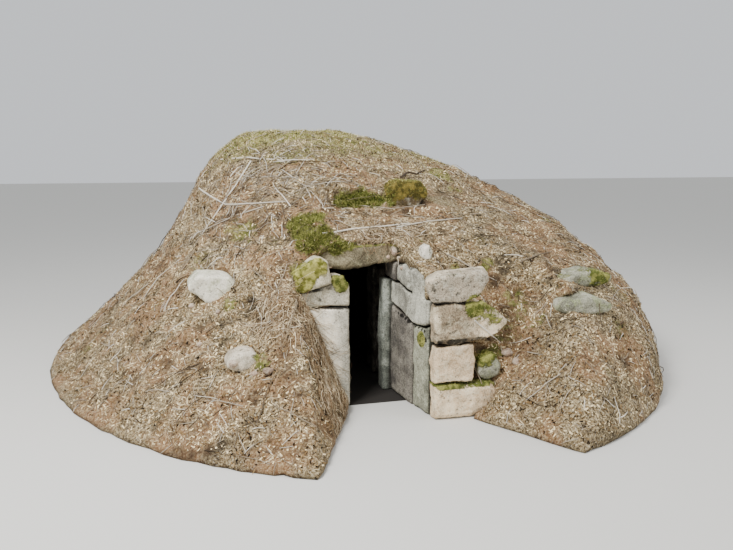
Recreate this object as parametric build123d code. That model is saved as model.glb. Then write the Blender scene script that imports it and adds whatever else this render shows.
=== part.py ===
from build123d import *
from math import cos, pi, radians, sin, sqrt, tan
import os

# An earth-covered stone shelter: a slab-roofed chamber in a mound, entered through a hand-laid stone doorway.
# The stonework is laid out in the entry frame, in millimetres: +Z up, the doorway faces -Y, and the origin is on
# the ground in the middle of the doorway, level with the front of the left jamb. The finished pieces are moved so
# that the origin is at the bottom centre of the whole shelter.

# Mound: elliptical contours that narrow and drift from the footprint up to the peak, joined by flat facets
MOUND_WIDTH = 7700
MOUND_ASPECT = 1.22
MOUND_TOP_WIDTH = 1280
EARTH_COVER = 820
MOUND_FULLNESS = 1.02
MOUND_BOW = 520
MOUND_BANDS = 9
MOUND_SIDES = 48
BAND_EASING = 1.5
PEAK_X = -600
PEAK_Y = 650

# Where the entry stands in the mound
ENTRY_X = -390
FACADE_Y = -2820

# Doorway and passage
DOOR_WIDTH = 460
DOOR_HEIGHT = 1400
PASSAGE_STEP_LEFT = 170
PASSAGE_STEP_RIGHT = 50
PASSAGE_WALL = 400
PASSAGE_COURSE = 760
LINTEL_DEPTH = 460
LINTEL_THICKNESS = 230
LINTEL_RISE = 40
LINTEL_BEARING_LEFT = 220
LINTEL_BEARING_RIGHT = 340
LINTEL_BELLY = 34
INNER_BEARING = 250

# Left jamb: a tapered upright, a nosed block on it and a tilted capstone
JAMB_DEPTH = 250
BLOCK_BED_DROP = 365
UPRIGHT_HEAD = 420
UPRIGHT_FOOT = 140
BLOCK_LENGTH = 600
BLOCK_END_HEIGHT = 140
BLOCK_HUMP_HEIGHT = 320
CAPSTONE_SETBACK = 110
CAPSTONE_LENGTH = 310
CAPSTONE_TILT = 14
CAPSTONE_HEIGHT = 300

# Right wall: a post and splayed slabs on edge, ending in a stack of boulders
SPLAY = 8
WING_START_Y = 600
WING_LENGTH = 1215
SLAB_THICKNESS = 200
POST_DEPTH = 200
CORBEL_HEIGHT = 170
CORBEL_DIP = 70
JOINT_INNER_DROP = 220
JOINT_LOW_DROP = 380
JOINT_OUTER_DROP = 245
SLAB_SPLIT = 740
CORBEL_END = 700
HUMP_END = 930
HUMP_HEIGHT = 190
HUMP_LEAN = 80
SLABS_SHORT = 130
LOW_BOULDER_HEIGHT = 390
MIDDLE_BOULDER_HEIGHT = 410
CAP_SEAT_DROP = 80
FOOT_BOULDER_WIDTH = 480
LOW_BOULDER_WIDTH = 230
MIDDLE_BOULDER_WIDTH = 570
STACK_DEPTH = 400
SIDE_STONE_SIZE = (250, 270, 260)
SIDE_STONE_GAP = 30
WING_CAP_LENGTH = 660
WING_CAP_HEIGHT = 305
WING_CAP_OVERHANG = 124
WING_CAP_DEPTH = 250
WING_CAP_SKEW = 20

# Chamber
CHAMBER_X = 140
CHAMBER_WIDTH = 1600
CHAMBER_LENGTH = 2700
CHAMBER_RISE = 150
CHAMBER_WALL = 400
WALL_BATTER = 110
FRONT_WALL_Y = 950
FRONT_WALL_RISE = 150
PIER_SLOPE_WIDTH = 420
PIER_SLOPE_HEIGHT = 380
ROOF_SLABS = 5
ROOF_THICKNESS = 220
ROOF_BEARING = 300
ROOF_UNEVENNESS = 45

# Ledge of stones on the front wall, showing above the entry
LEDGE_SETBACK = 45
LEDGE_DEPTH = 340
LEDGE_LEFT_X = -190
LEDGE_JOINT_X = 450
LEDGE_RIGHT_X = 960
LEDGE_SLAB_HEIGHT = 190
LEDGE_BOULDER_HEIGHT = 330

# The mound's front face, which climbs to the rear and falls a little to the right
FRONT_CLIMB = 20
FRONT_FALL = 13.8

# Banks beside the entry, and the shallow shelf of earth between lintel and ledge
LEFT_BANK_SLOPE = 68
LEFT_BANK_HEADING = 21
RIGHT_BANK_SLOPE = 47
RIGHT_BANK_HEADING = 30
RIGHT_BANK_X = 780
BROW_SLOPE = 52
BROW_FOOT = 1430
RIGHT_BROW_SLOPE = 58
RIGHT_BROW_FOOT = 560
STONE_REVEAL = 110
LINTEL_SHOWS_FROM = -480
SHELF_LEFT_X = -280
SHELF_BANK_SLOPE = 33
EARTH_ON_LINTEL = 25
EARTH_ON_WALL = 30

# Stones bedded in the mound: X, Y, width, height and depth of each
SLOPE_BOULDER = (-1500, 610, 640, 330, 420)
SLOPE_STONE = (-1325, -415, 360, 190, 260)
BANK_SLAB = (2230, -140, 800, 190, 340)
BANK_STONE = (2080, -520, 640, 210, 340)
SLOPE_BOULDER_TILT = 15
BANK_SLAB_TILT = -4
BEDDING = 0.22

# A small pale stone standing in the shelf, beside the corbel block
SHELF_STONE_X = 545
SHELF_STONE_Y = -40
SHELF_STONE_SIZE = (130, 190, 150)
SHELF_STONE_BED = 60

BEVEL = 22
WORN = 45
FAR = 6000

# Places that follow from the sizes above
DOOR_LEFT = -DOOR_WIDTH / 2
DOOR_RIGHT = DOOR_WIDTH / 2
PASSAGE_LEFT = DOOR_LEFT - PASSAGE_STEP_LEFT
PASSAGE_RIGHT = DOOR_RIGHT + PASSAGE_STEP_RIGHT
LINTEL_TOP = DOOR_HEIGHT + LINTEL_THICKNESS
UPRIGHT_HEIGHT = DOOR_HEIGHT - BLOCK_BED_DROP
POST_HEIGHT = DOOR_HEIGHT - CORBEL_HEIGHT
JOINT_INNER_HEIGHT = POST_HEIGHT - JOINT_INNER_DROP
JOINT_LOW_HEIGHT = POST_HEIGHT - JOINT_LOW_DROP
JOINT_OUTER_HEIGHT = POST_HEIGHT - JOINT_OUTER_DROP
BEARING_TOP = DOOR_HEIGHT + LINTEL_RISE
CORBEL_SEAT = POST_HEIGHT - CORBEL_DIP
CHAMBER_HEIGHT = LINTEL_TOP + CHAMBER_RISE
FRONT_WALL_HEIGHT = CHAMBER_HEIGHT + FRONT_WALL_RISE
MOUND_HEIGHT = CHAMBER_HEIGHT + ROOF_THICKNESS + EARTH_COVER
INNER_LINTEL_Y = JAMB_DEPTH + LINTEL_DEPTH
BLOCK_END = DOOR_LEFT - BLOCK_LENGTH
CHAMBER_FRONT = FRONT_WALL_Y + CHAMBER_WALL
CHAMBER_BACK = CHAMBER_FRONT + CHAMBER_LENGTH
STONE_BACK = CHAMBER_BACK + CHAMBER_WALL
CHAMBER_LEFT = CHAMBER_X - CHAMBER_WIDTH / 2
CHAMBER_RIGHT = CHAMBER_X + CHAMBER_WIDTH / 2
STONE_LEFT = CHAMBER_LEFT - CHAMBER_WALL
STONE_RIGHT = CHAMBER_RIGHT + CHAMBER_WALL
LEDGE_Y = FRONT_WALL_Y + LEDGE_SETBACK
POST_FRONT = WING_START_Y - POST_DEPTH
WING_FRONT = WING_START_Y - WING_LENGTH * cos(radians(SPLAY))
WING_CORNER_X = PASSAGE_RIGHT + WING_LENGTH * sin(radians(SPLAY))
STACK_LEFT = WING_CORNER_X + SLAB_THICKNESS * cos(radians(SPLAY))
CAP_SEAT = POST_HEIGHT - CAP_SEAT_DROP
MIDDLE_SEAT = CAP_SEAT - MIDDLE_BOULDER_HEIGHT
LOW_SEAT = MIDDLE_SEAT - LOW_BOULDER_HEIGHT
SHELF_RISE = FRONT_WALL_HEIGHT + EARTH_ON_WALL - LINTEL_TOP - EARTH_ON_LINTEL
SHELF_CLIMB = SHELF_RISE / (FRONT_WALL_Y - JAMB_DEPTH)


def box(x, y, z):
    """A block between two X, two Y and two Z values."""
    size = (x[1] - x[0], y[1] - y[0], z[1] - z[0])
    return Location((x[0], y[0], z[0])) * Box(*size, align=(Align.MIN, Align.MIN, Align.MIN))


def facing(y):
    """The plane at that Y which faces the viewer at the entry: local X along X, local Y up."""
    return Plane(origin=(0, y, 0), x_dir=(1, 0, 0), z_dir=(0, -1, 0))


def sideways(x):
    """The plane at that X which faces right: local X along Y, local Y up."""
    return Plane(origin=(x, 0, 0), x_dir=(0, 1, 0), z_dir=(1, 0, 0))


def wing_plane(depth=0):
    """The splayed inner face of the right wall, or a plane behind it: local X outwards, local Y up."""
    splay = radians(SPLAY)
    into_passage = Vector(-cos(splay), -sin(splay), 0)
    origin = Vector(PASSAGE_RIGHT, WING_START_Y, 0) - into_passage * depth
    return Plane(origin=origin, x_dir=(sin(splay), -cos(splay), 0), z_dir=into_passage)


def in_front_of(shape, y):
    """What of a shape lies on the viewer's side of that Y."""
    return split(shape, facing(y), keep=Keep.TOP)


def polygon(*corners):
    """A flat face with those corners."""
    return make_face(Polyline(*corners, close=True))


def outline(*runs):
    """A closed face from runs that share their ends: two points make a straight edge, three an arc."""
    edges = [Line(*run) if len(run) == 2 else ThreePointArc(*run) for run in runs]
    return make_face(Curve() + edges)


def rounded(*corners):
    """A face with those corners, each given as X, Y and the radius that rounds it."""
    face = polygon(*[(x, y) for x, y, _ in corners])
    for x, y, radius in corners:
        if radius:
            corner = face.vertices().sort_by_distance((x, y, 0))[0]
            face = fillet(corner, radius)
    return face


def stone(plane, face, depth, bevel=BEVEL, skew=0):
    """A stone that shows that face on that plane and runs back from it, with its front edges worn off."""
    turned = plane.z_dir * -cos(radians(skew)) + plane.x_dir * sin(radians(skew))
    body = extrude(plane * face, amount=depth / cos(radians(skew)), dir=turned)
    showing = body.faces().sort_by(Axis(plane.origin, plane.z_dir))[-1]
    return chamfer(showing.edges(), bevel)


def left_upright():
    """The tapered stone that the left jamb stands on."""
    face = rounded(
        (DOOR_LEFT - UPRIGHT_FOOT, 0, 0),
        (DOOR_LEFT, 0, 0),
        (DOOR_LEFT, UPRIGHT_HEIGHT, 0),
        (DOOR_LEFT - UPRIGHT_HEAD, UPRIGHT_HEIGHT, 0),
        (DOOR_LEFT - UPRIGHT_HEAD * 0.66, UPRIGHT_HEIGHT * 0.62, 900),
    )
    return stone(facing(0), face, JAMB_DEPTH)


def capstone_seat(x):
    """Height of the capstone's tilted underside at X."""
    return UPRIGHT_HEIGHT + BLOCK_END_HEIGHT + (x - BLOCK_END) * tan(radians(CAPSTONE_TILT))


def capstone_ends():
    """The two ends of the tilted line along which the capstone lies on the block."""
    left = BLOCK_END + CAPSTONE_SETBACK
    right = left + CAPSTONE_LENGTH * cos(radians(CAPSTONE_TILT))
    return (left, capstone_seat(left)), (right, capstone_seat(right))


def left_block():
    """The block on the upright: a rounded nose at its far end, a tilted seat, and a hump beside the door."""
    left, right = capstone_ends()
    face = rounded(
        (BLOCK_END + BLOCK_LENGTH * 0.3, UPRIGHT_HEIGHT, 0),
        (DOOR_LEFT, UPRIGHT_HEIGHT, 0),
        (DOOR_LEFT, UPRIGHT_HEIGHT + BLOCK_HUMP_HEIGHT * 0.66, 50),
        (DOOR_LEFT - BLOCK_LENGTH * 0.12, UPRIGHT_HEIGHT + BLOCK_HUMP_HEIGHT, 60),
        (right[0], UPRIGHT_HEIGHT + BLOCK_HUMP_HEIGHT, 0),
        (*right, 0),
        (*left, 0),
        (BLOCK_END, UPRIGHT_HEIGHT + BLOCK_END_HEIGHT * 0.85, 40),
    )
    return stone(facing(0), face, JAMB_DEPTH)


def left_capstone():
    """The mossy stone on top of the left jamb, lying on the block's tilted seat."""
    left, right = capstone_ends()
    length = right[0] - left[0]
    face = rounded(
        (*left, 0),
        (*right, 0),
        (right[0], right[1] + CAPSTONE_HEIGHT * 0.2, 60),
        (right[0] - length * 0.14, right[1] + CAPSTONE_HEIGHT * 0.8, 50),
        (right[0] - length * 0.45, right[1] + CAPSTONE_HEIGHT * 0.92, 70),
        (left[0] - length * 0.24, left[1] + CAPSTONE_HEIGHT * 0.62, 50),
        (left[0] - length * 0.16, left[1] + CAPSTONE_HEIGHT * 0.14, 30),
    )
    return stone(facing(-WORN), face, JAMB_DEPTH + WORN)


def lintel():
    """The lintel: a thick slab that sags over the door, with a humped back and a higher right bearing."""
    left = PASSAGE_LEFT - LINTEL_BEARING_LEFT
    right = PASSAGE_RIGHT + LINTEL_BEARING_RIGHT
    face = rounded(
        (left, DOOR_HEIGHT, 0),
        (PASSAGE_LEFT, DOOR_HEIGHT, 0),
        (DOOR_LEFT, DOOR_HEIGHT - LINTEL_BELLY, 300),
        (PASSAGE_RIGHT + BEVEL, BEARING_TOP, 0),
        (right, BEARING_TOP, 0),
        (right - LINTEL_THICKNESS * 0.25, LINTEL_TOP - LINTEL_THICKNESS * 0.3, 60),
        (DOOR_RIGHT, LINTEL_TOP, 300),
        (PASSAGE_LEFT, LINTEL_TOP - LINTEL_THICKNESS * 0.14, 300),
        (left + LINTEL_THICKNESS * 0.1, LINTEL_TOP - LINTEL_THICKNESS * 0.5, 60),
    )
    return stone(facing(JAMB_DEPTH), face, LINTEL_DEPTH)


def inner_lintel():
    """The slab behind the lintel, which carries the chamber's front wall over the passage."""
    return box(
        (PASSAGE_LEFT - INNER_BEARING, PASSAGE_RIGHT + INNER_BEARING),
        (INNER_LINTEL_Y, CHAMBER_FRONT),
        (DOOR_HEIGHT, LINTEL_TOP),
    )


def passage_left(low, high):
    """One course of the passage's left wall, with its edges worn on the passage side."""
    body = box((PASSAGE_LEFT - PASSAGE_WALL, PASSAGE_LEFT), (JAMB_DEPTH, FRONT_WALL_Y), (low, high))
    return chamfer(body.faces().sort_by(Axis.X)[-1].edges(), BEVEL)


def passage_right():
    """The passage's right wall, between the post and the chamber's front wall."""
    body = box((PASSAGE_RIGHT, PASSAGE_RIGHT + PASSAGE_WALL), (WING_START_Y, FRONT_WALL_Y), (0, DOOR_HEIGHT))
    return chamfer(body.faces().sort_by(Axis.X)[0].edges(), BEVEL)


def right_post():
    """The slab on end that stands a step into the doorway and narrows it."""
    body = box((DOOR_RIGHT, PASSAGE_RIGHT + SLAB_THICKNESS), (POST_FRONT, WING_START_Y), (0, POST_HEIGHT))
    return chamfer(body.edges().filter_by(Axis.Z).group_by(Axis.X)[0], BEVEL)


def right_bearing():
    """The flat stone on the post and the slabs behind it, which carries the lintel's right end."""
    body = box(
        (PASSAGE_RIGHT + BEVEL, PASSAGE_RIGHT + PASSAGE_WALL),
        (JAMB_DEPTH, WING_START_Y),
        (POST_HEIGHT, BEARING_TOP),
    )
    return chamfer(body.faces().sort_by(Axis.X)[0].edges(), BEVEL)


def wing_slab(face):
    """A slab on edge in the splayed wall, cut off square against the post."""
    return in_front_of(stone(wing_plane(), face, SLAB_THICKNESS), POST_FRONT)


def joint_curve():
    """The sagging joint between the two low slabs of the wing and the long one over them."""
    inner = (0, JOINT_INNER_HEIGHT)
    split_top = (SLAB_SPLIT, JOINT_LOW_HEIGHT)
    outer = (WING_LENGTH, JOINT_OUTER_HEIGHT)
    inner_sag = (SLAB_SPLIT * 0.5, JOINT_LOW_HEIGHT + (JOINT_INNER_HEIGHT - JOINT_LOW_HEIGHT) * 0.55)
    outer_rise = JOINT_OUTER_HEIGHT - JOINT_LOW_HEIGHT
    outer_sag = ((SLAB_SPLIT + WING_LENGTH) / 2, JOINT_LOW_HEIGHT + outer_rise * 0.2)
    return (inner, inner_sag, split_top), (split_top, outer_sag, outer)


def lower_slab():
    """The dark slab low in the wing, beside the post."""
    joint = joint_curve()[0]
    face = outline(((0, 0), (SLAB_SPLIT, 0)), ((SLAB_SPLIT, 0), joint[-1]), joint[::-1], (joint[0], (0, 0)))
    return wing_slab(face)


def outer_slab():
    """The slab low in the wing, at its outer end."""
    joint = joint_curve()[1]
    face = outline(
        ((SLAB_SPLIT, 0), (WING_LENGTH, 0)),
        ((WING_LENGTH, 0), joint[-1]),
        joint[::-1],
        (joint[0], (SLAB_SPLIT, 0)),
    )
    return split(wing_slab(face), facing(WING_FRONT + SLABS_SHORT), keep=Keep.BOTTOM)


def corbel_bed():
    """Where, along the wing, the corbel block's first point and the first of its dipping bed lie."""
    middle = (WING_START_Y - JAMB_DEPTH) / cos(radians(SPLAY))
    half = SLAB_THICKNESS * tan(radians(SPLAY))
    return middle - half, middle + half


def upper_slab():
    """The long slab over both lower ones: level, dipping under the corbel block, humped, then low."""
    inner_joint, outer_joint = joint_curve()
    dip = corbel_bed()[1]
    top = POST_HEIGHT + HUMP_HEIGHT
    face = outline(
        inner_joint,
        outer_joint,
        (outer_joint[-1], (WING_LENGTH, CAP_SEAT)),
        ((WING_LENGTH, CAP_SEAT), (HUMP_END, CAP_SEAT)),
        ((HUMP_END, CAP_SEAT), (HUMP_END, top - WORN)),
        ((HUMP_END, top - WORN), (CORBEL_END - HUMP_LEAN, top)),
        ((CORBEL_END - HUMP_LEAN, top), (CORBEL_END, CORBEL_SEAT)),
        ((CORBEL_END, CORBEL_SEAT), (dip, POST_HEIGHT)),
        ((dip, POST_HEIGHT), (0, POST_HEIGHT)),
        ((0, POST_HEIGHT), inner_joint[0]),
    )
    body = extrude(wing_plane() * face, amount=-SLAB_THICKNESS)
    body = split(body, facing(WING_FRONT + SLABS_SHORT), keep=Keep.BOTTOM)
    showing = body.faces().sort_by(Axis(wing_plane().origin, wing_plane().z_dir))[-1]
    return in_front_of(chamfer(showing.edges(), BEVEL), POST_FRONT)


def corbel():
    """The block in the upper slab's dip, in front of the lintel's right end."""
    start, dip = corbel_bed()
    head = CORBEL_END - HUMP_LEAN - BEVEL
    face = rounded(
        (start, POST_HEIGHT, 0),
        (dip, POST_HEIGHT, 0),
        (CORBEL_END - BEVEL, CORBEL_SEAT + BEVEL * CORBEL_DIP / (CORBEL_END - dip), 0),
        (head, DOOR_HEIGHT, 60),
        (head - WORN * 2, BEARING_TOP, 60),
        (start, DOOR_HEIGHT, 0),
    )
    return in_front_of(stone(wing_plane(), face, SLAB_THICKNESS), JAMB_DEPTH)


def slabs_room():
    """The room that the wing's slabs fill behind the stack, up to the capstone's seat."""
    face = polygon((0, 0), (WING_LENGTH, 0), (WING_LENGTH, CAP_SEAT), (0, CAP_SEAT))
    room = extrude(wing_plane() * face, amount=-SLAB_THICKNESS)
    return split(room, facing(WING_FRONT + SLABS_SHORT), keep=Keep.BOTTOM)


def boulder(seat, right_side, reach, bevel=WORN):
    """A stone of the stack at the wing's end, with flat beds, lapping the slabs on its left side."""
    low, high = seat
    face = rounded((WING_CORNER_X, low, 0), *right_side, (WING_CORNER_X, high, 0))
    return stone(facing(WING_FRONT - reach), face, reach + STACK_DEPTH, bevel) - slabs_room()


def foot_boulder():
    """The lowest stone of the stack, which stands a little proud."""
    right = STACK_LEFT + FOOT_BOULDER_WIDTH
    side = ((right, 0, 0), (right + WORN, LOW_SEAT * 0.6, 120), (right - 2 * WORN, LOW_SEAT, 0))
    return boulder((0, LOW_SEAT), side, WORN)


def low_boulder():
    """The second stone of the stack, the narrowest."""
    right = STACK_LEFT + LOW_BOULDER_WIDTH
    side = (
        (right - BEVEL, LOW_SEAT, 0),
        (right, LOW_SEAT + LOW_BOULDER_HEIGHT * 0.5, 150),
        (right - BEVEL, MIDDLE_SEAT, 0),
    )
    return boulder((LOW_SEAT, MIDDLE_SEAT), side, BEVEL, BEVEL)


def middle_boulder():
    """The big rounded stone under the wing's capstone, which overhangs the low one to the right."""
    bed = STACK_LEFT + LOW_BOULDER_WIDTH
    right = STACK_LEFT + MIDDLE_BOULDER_WIDTH
    side = (
        (bed, MIDDLE_SEAT, 0),
        (right - WORN * 2, MIDDLE_SEAT + MIDDLE_BOULDER_HEIGHT * 0.16, 110),
        (right, MIDDLE_SEAT + MIDDLE_BOULDER_HEIGHT * 0.5, 60),
        (right - WORN * 4, MIDDLE_SEAT + MIDDLE_BOULDER_HEIGHT * 0.86, 100),
        (bed + WORN, CAP_SEAT, 0),
    )
    return boulder((MIDDLE_SEAT, CAP_SEAT), side, BEVEL, BEVEL)


def side_stone():
    """The stone with a mossy head that stands on the lowest one, to the right of the narrow one."""
    width, height, depth = SIDE_STONE_SIZE
    x = STACK_LEFT + LOW_BOULDER_WIDTH + SIDE_STONE_GAP + width / 2
    return Location((x, WING_FRONT + depth / 2, LOW_SEAT + height / 2)) * field_stone(*SIDE_STONE_SIZE)


def wing_capstone():
    """The long capstone over the wing's end, set askew, with its right end rounded up."""
    left = WING_CORNER_X - WING_CAP_OVERHANG
    shape = (
        (0.11, 0, 0),
        (0.62, 0, 0),
        (0.87, 0.2, 90),
        (1, 0.7, 50),
        (0.91, 1, 50),
        (0.18, 0.9, 80),
        (0, 0.72, 30),
        (0.02, 0.34, 60),
    )
    corners = [(left + WING_CAP_LENGTH * x, CAP_SEAT + WING_CAP_HEIGHT * y, radius) for x, y, radius in shape]
    return stone(facing(WING_FRONT - WORN), rounded(*corners), WING_CAP_DEPTH + WORN, BEVEL, WING_CAP_SKEW)


def side_wall(outer, inner, lean):
    """A chamber side wall: plumb outside, and leaning in to the roof by the batter."""
    face = polygon((outer, 0), (inner, 0), (inner + lean, CHAMBER_HEIGHT), (outer, CHAMBER_HEIGHT))
    return extrude(facing(CHAMBER_FRONT) * face, amount=-CHAMBER_LENGTH)


def rear_wall():
    """The chamber's rear wall, leaning in like the others."""
    face = polygon(
        (CHAMBER_BACK, 0),
        (CHAMBER_BACK - WALL_BATTER, CHAMBER_HEIGHT),
        (STONE_BACK, CHAMBER_HEIGHT),
        (STONE_BACK, 0),
    )
    return extrude(sideways(STONE_LEFT) * face, amount=STONE_RIGHT - STONE_LEFT)


def front_pier(outer, inner):
    """The chamber's front wall on one side of the passage, notched for the inner lintel."""
    inwards = 1 if inner > outer else -1
    face = polygon(
        (outer, 0),
        (inner, 0),
        (inner, FRONT_WALL_HEIGHT),
        (outer + inwards * PIER_SLOPE_WIDTH, FRONT_WALL_HEIGHT),
        (outer, FRONT_WALL_HEIGHT - PIER_SLOPE_HEIGHT),
    )
    return extrude(facing(FRONT_WALL_Y) * face, amount=-CHAMBER_WALL) - inner_lintel()


def front_header():
    """The masonry over the inner lintel, between the piers."""
    return box((PASSAGE_LEFT, PASSAGE_RIGHT), (FRONT_WALL_Y, CHAMBER_FRONT), (LINTEL_TOP, FRONT_WALL_HEIGHT))


def unevenness(index):
    """A small offset that differs from one slab end to the next."""
    return ROOF_UNEVENNESS * sin(2.4 * index + 0.7)


def roof_slab(index):
    """A slab across the chamber, with skewed joints to its neighbours and uneven ends."""
    pitch = (STONE_BACK - ROOF_BEARING / 2 - CHAMBER_FRONT) / ROOF_SLABS
    corners = []
    for side, seams in ((-1, (index, index + 1)), (1, (index + 1, index))):
        reach = side * (CHAMBER_WIDTH / 2 - WALL_BATTER + ROOF_BEARING + unevenness(index * 3 + side))
        for seam in seams:
            skew = 0 if seam in (0, ROOF_SLABS) else unevenness(seam) / CHAMBER_WIDTH
            corners.append((CHAMBER_X + reach, CHAMBER_FRONT + seam * pitch + reach * skew))
    body = extrude(Plane.XY.offset(CHAMBER_HEIGHT) * polygon(*corners), amount=ROOF_THICKNESS)
    return chamfer(body.faces().sort_by(Axis.Z)[-1].edges(), BEVEL)


def ledge_slab():
    """The low stone on the front wall that shows as a mossy ledge above the entry."""
    top = FRONT_WALL_HEIGHT + LEDGE_SLAB_HEIGHT
    face = rounded(
        (LEDGE_LEFT_X, FRONT_WALL_HEIGHT, 0),
        (LEDGE_JOINT_X, FRONT_WALL_HEIGHT, 0),
        (LEDGE_JOINT_X, top - WORN, 0),
        ((LEDGE_LEFT_X + LEDGE_JOINT_X) / 2, top, 200),
        (LEDGE_LEFT_X + WORN, top - WORN, 40),
    )
    return stone(facing(LEDGE_Y), face, LEDGE_DEPTH)


def ledge_boulder():
    """The higher, rounder stone at the right end of the ledge."""
    top = FRONT_WALL_HEIGHT + LEDGE_BOULDER_HEIGHT
    middle = FRONT_WALL_HEIGHT + LEDGE_BOULDER_HEIGHT / 2
    width = LEDGE_RIGHT_X - LEDGE_JOINT_X
    face = rounded(
        (LEDGE_JOINT_X, FRONT_WALL_HEIGHT, 0),
        (LEDGE_RIGHT_X - width * 0.25, FRONT_WALL_HEIGHT, 0),
        (LEDGE_RIGHT_X, middle, 60),
        (LEDGE_RIGHT_X - width * 0.2, top - BEVEL, 60),
        (LEDGE_JOINT_X + width * 0.25, top - BEVEL, 60),
        (LEDGE_JOINT_X, middle, 0),
    )
    return stone(facing(LEDGE_Y), face, LEDGE_DEPTH)


def field_stone(width, height, depth):
    """A rounded stone about the origin, its worn face to the front."""
    w = width / 2
    h = height / 2
    radius = min(w, h) * 0.4
    face = rounded(
        (-w, -h * 0.4, radius),
        (-w * 0.2, -h, radius),
        (w * 0.8, -h * 0.7, radius),
        (w, h * 0.1, radius),
        (w * 0.3, h, radius),
        (-w * 0.7, h * 0.6, radius),
    )
    return stone(facing(-depth / 2), face, depth)


def bedded(body, x, y, width, height, depth, tilt=0):
    """A field stone bedded in a body's sloping surface at X and Y, with most of its depth in the earth."""
    hits = body.find_intersection_points(Axis((x, y, 0), (0, 0, 1)))
    surface = max(point.Z for point, _ in hits)
    return Location((x, y + depth * BEDDING, surface), (0, tilt, 0)) * field_stone(width, height, depth)


def shelf_height(y):
    """Height of the shelf of earth at Y."""
    return LINTEL_TOP + EARTH_ON_LINTEL + SHELF_CLIMB * (y - JAMB_DEPTH)


def shelf_stone():
    """The small pale stone that stands in the shelf, just over the corbel block."""
    z = shelf_height(SHELF_STONE_Y) + SHELF_STONE_SIZE[1] / 2 - SHELF_STONE_BED
    return Location((SHELF_STONE_X, SHELF_STONE_Y, z)) * field_stone(*SHELF_STONE_SIZE)


def contour(rise):
    """The corners of the mound's contour at that share of its height."""
    narrowing = (MOUND_WIDTH**2 - MOUND_TOP_WIDTH**2) * rise**MOUND_FULLNESS
    across = sqrt(MOUND_WIDTH**2 - narrowing) / 2
    along = across * MOUND_ASPECT
    x = PEAK_X * rise**2 + 4 * MOUND_BOW * rise * (1 - rise) - ENTRY_X
    y = PEAK_Y * rise**2 - FACADE_Y
    turns = [2 * pi * side / MOUND_SIDES for side in range(MOUND_SIDES)]
    return [Vector(x + across * cos(turn), y + along * sin(turn), MOUND_HEIGHT * rise) for turn in turns]


def mound():
    """The whole mound as one body of flat facets between its contours, with its front face planed off."""
    rings = [contour(1 - (1 - band / MOUND_BANDS) ** BAND_EASING) for band in range(MOUND_BANDS + 1)]
    facets = [polygon(*rings[0]), polygon(*rings[-1])]
    for low, high in zip(rings, rings[1:]):
        for side in range(MOUND_SIDES):
            facets.append(polygon(low[side - 1], low[side], high[side], high[side - 1]))
    return split(Solid(Shell(facets)), front_face(), keep=Keep.BOTTOM)


def front_face():
    """The plane of the mound's front face, through the earth at the ledge's right end."""
    to_rear = Vector(0, 1, tan(radians(FRONT_CLIMB)))
    to_right = Vector(1, 0, -tan(radians(FRONT_FALL)))
    through = (LEDGE_RIGHT_X, LEDGE_Y, FRONT_WALL_HEIGHT + EARTH_ON_WALL)
    return Plane(origin=through, x_dir=to_right, z_dir=to_right.cross(to_rear))


def bank(x, y, heading, slope, side):
    """The face of a bank that rises outwards from a toe line, to the left for side -1 and right for 1."""
    toe = Vector(sin(radians(heading)) * side, -cos(radians(heading)), 0)
    level_normal = Vector(-cos(radians(heading)) * side, -sin(radians(heading)), 0)
    normal = level_normal * sin(radians(slope)) + Vector(0, 0, cos(radians(slope)))
    return Plane(origin=(x, y, 0), x_dir=toe, z_dir=normal)


def open_under_brow(front, foot, slope):
    """The profile, in a sideways plane, of open ground up to a brow: plumb to its foot, then sloping to the rear."""
    head = front + (FAR - foot) / tan(radians(slope))
    return polygon((-FAR, 0), (front, 0), (front, foot), (head, FAR), (-FAR, FAR))


def entry_hollow():
    """The open ground in front of the door, between its two banks and under the brows of earth beside it."""
    left_profile = open_under_brow(STONE_REVEAL, BROW_FOOT, BROW_SLOPE)
    right_profile = open_under_brow(WING_FRONT + STONE_REVEAL, RIGHT_BROW_FOOT, RIGHT_BROW_SLOPE)
    brow_at_lintel = BROW_FOOT + (JAMB_DEPTH - STONE_REVEAL) * tan(radians(BROW_SLOPE))
    lintel_profile = open_under_brow(JAMB_DEPTH, brow_at_lintel, BROW_SLOPE)
    left_side = extrude(sideways(-FAR) * left_profile, amount=FAR + LINTEL_SHOWS_FROM)
    right_side = extrude(sideways(STACK_LEFT) * right_profile, amount=FAR)
    before_lintel = extrude(sideways(LINTEL_SHOWS_FROM) * lintel_profile, amount=-LINTEL_SHOWS_FROM)
    before_wing = box((0, STACK_LEFT), (-FAR, WING_FRONT + STONE_REVEAL), (0, FAR))
    open_ground = left_side + before_lintel + before_wing + right_side
    left_bank = bank(DOOR_LEFT, 0, LEFT_BANK_HEADING, LEFT_BANK_SLOPE, -1)
    right_bank = bank(RIGHT_BANK_X, WING_FRONT, RIGHT_BANK_HEADING, RIGHT_BANK_SLOPE, 1)
    return split(split(open_ground, left_bank, keep=Keep.TOP), right_bank, keep=Keep.TOP)


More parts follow.
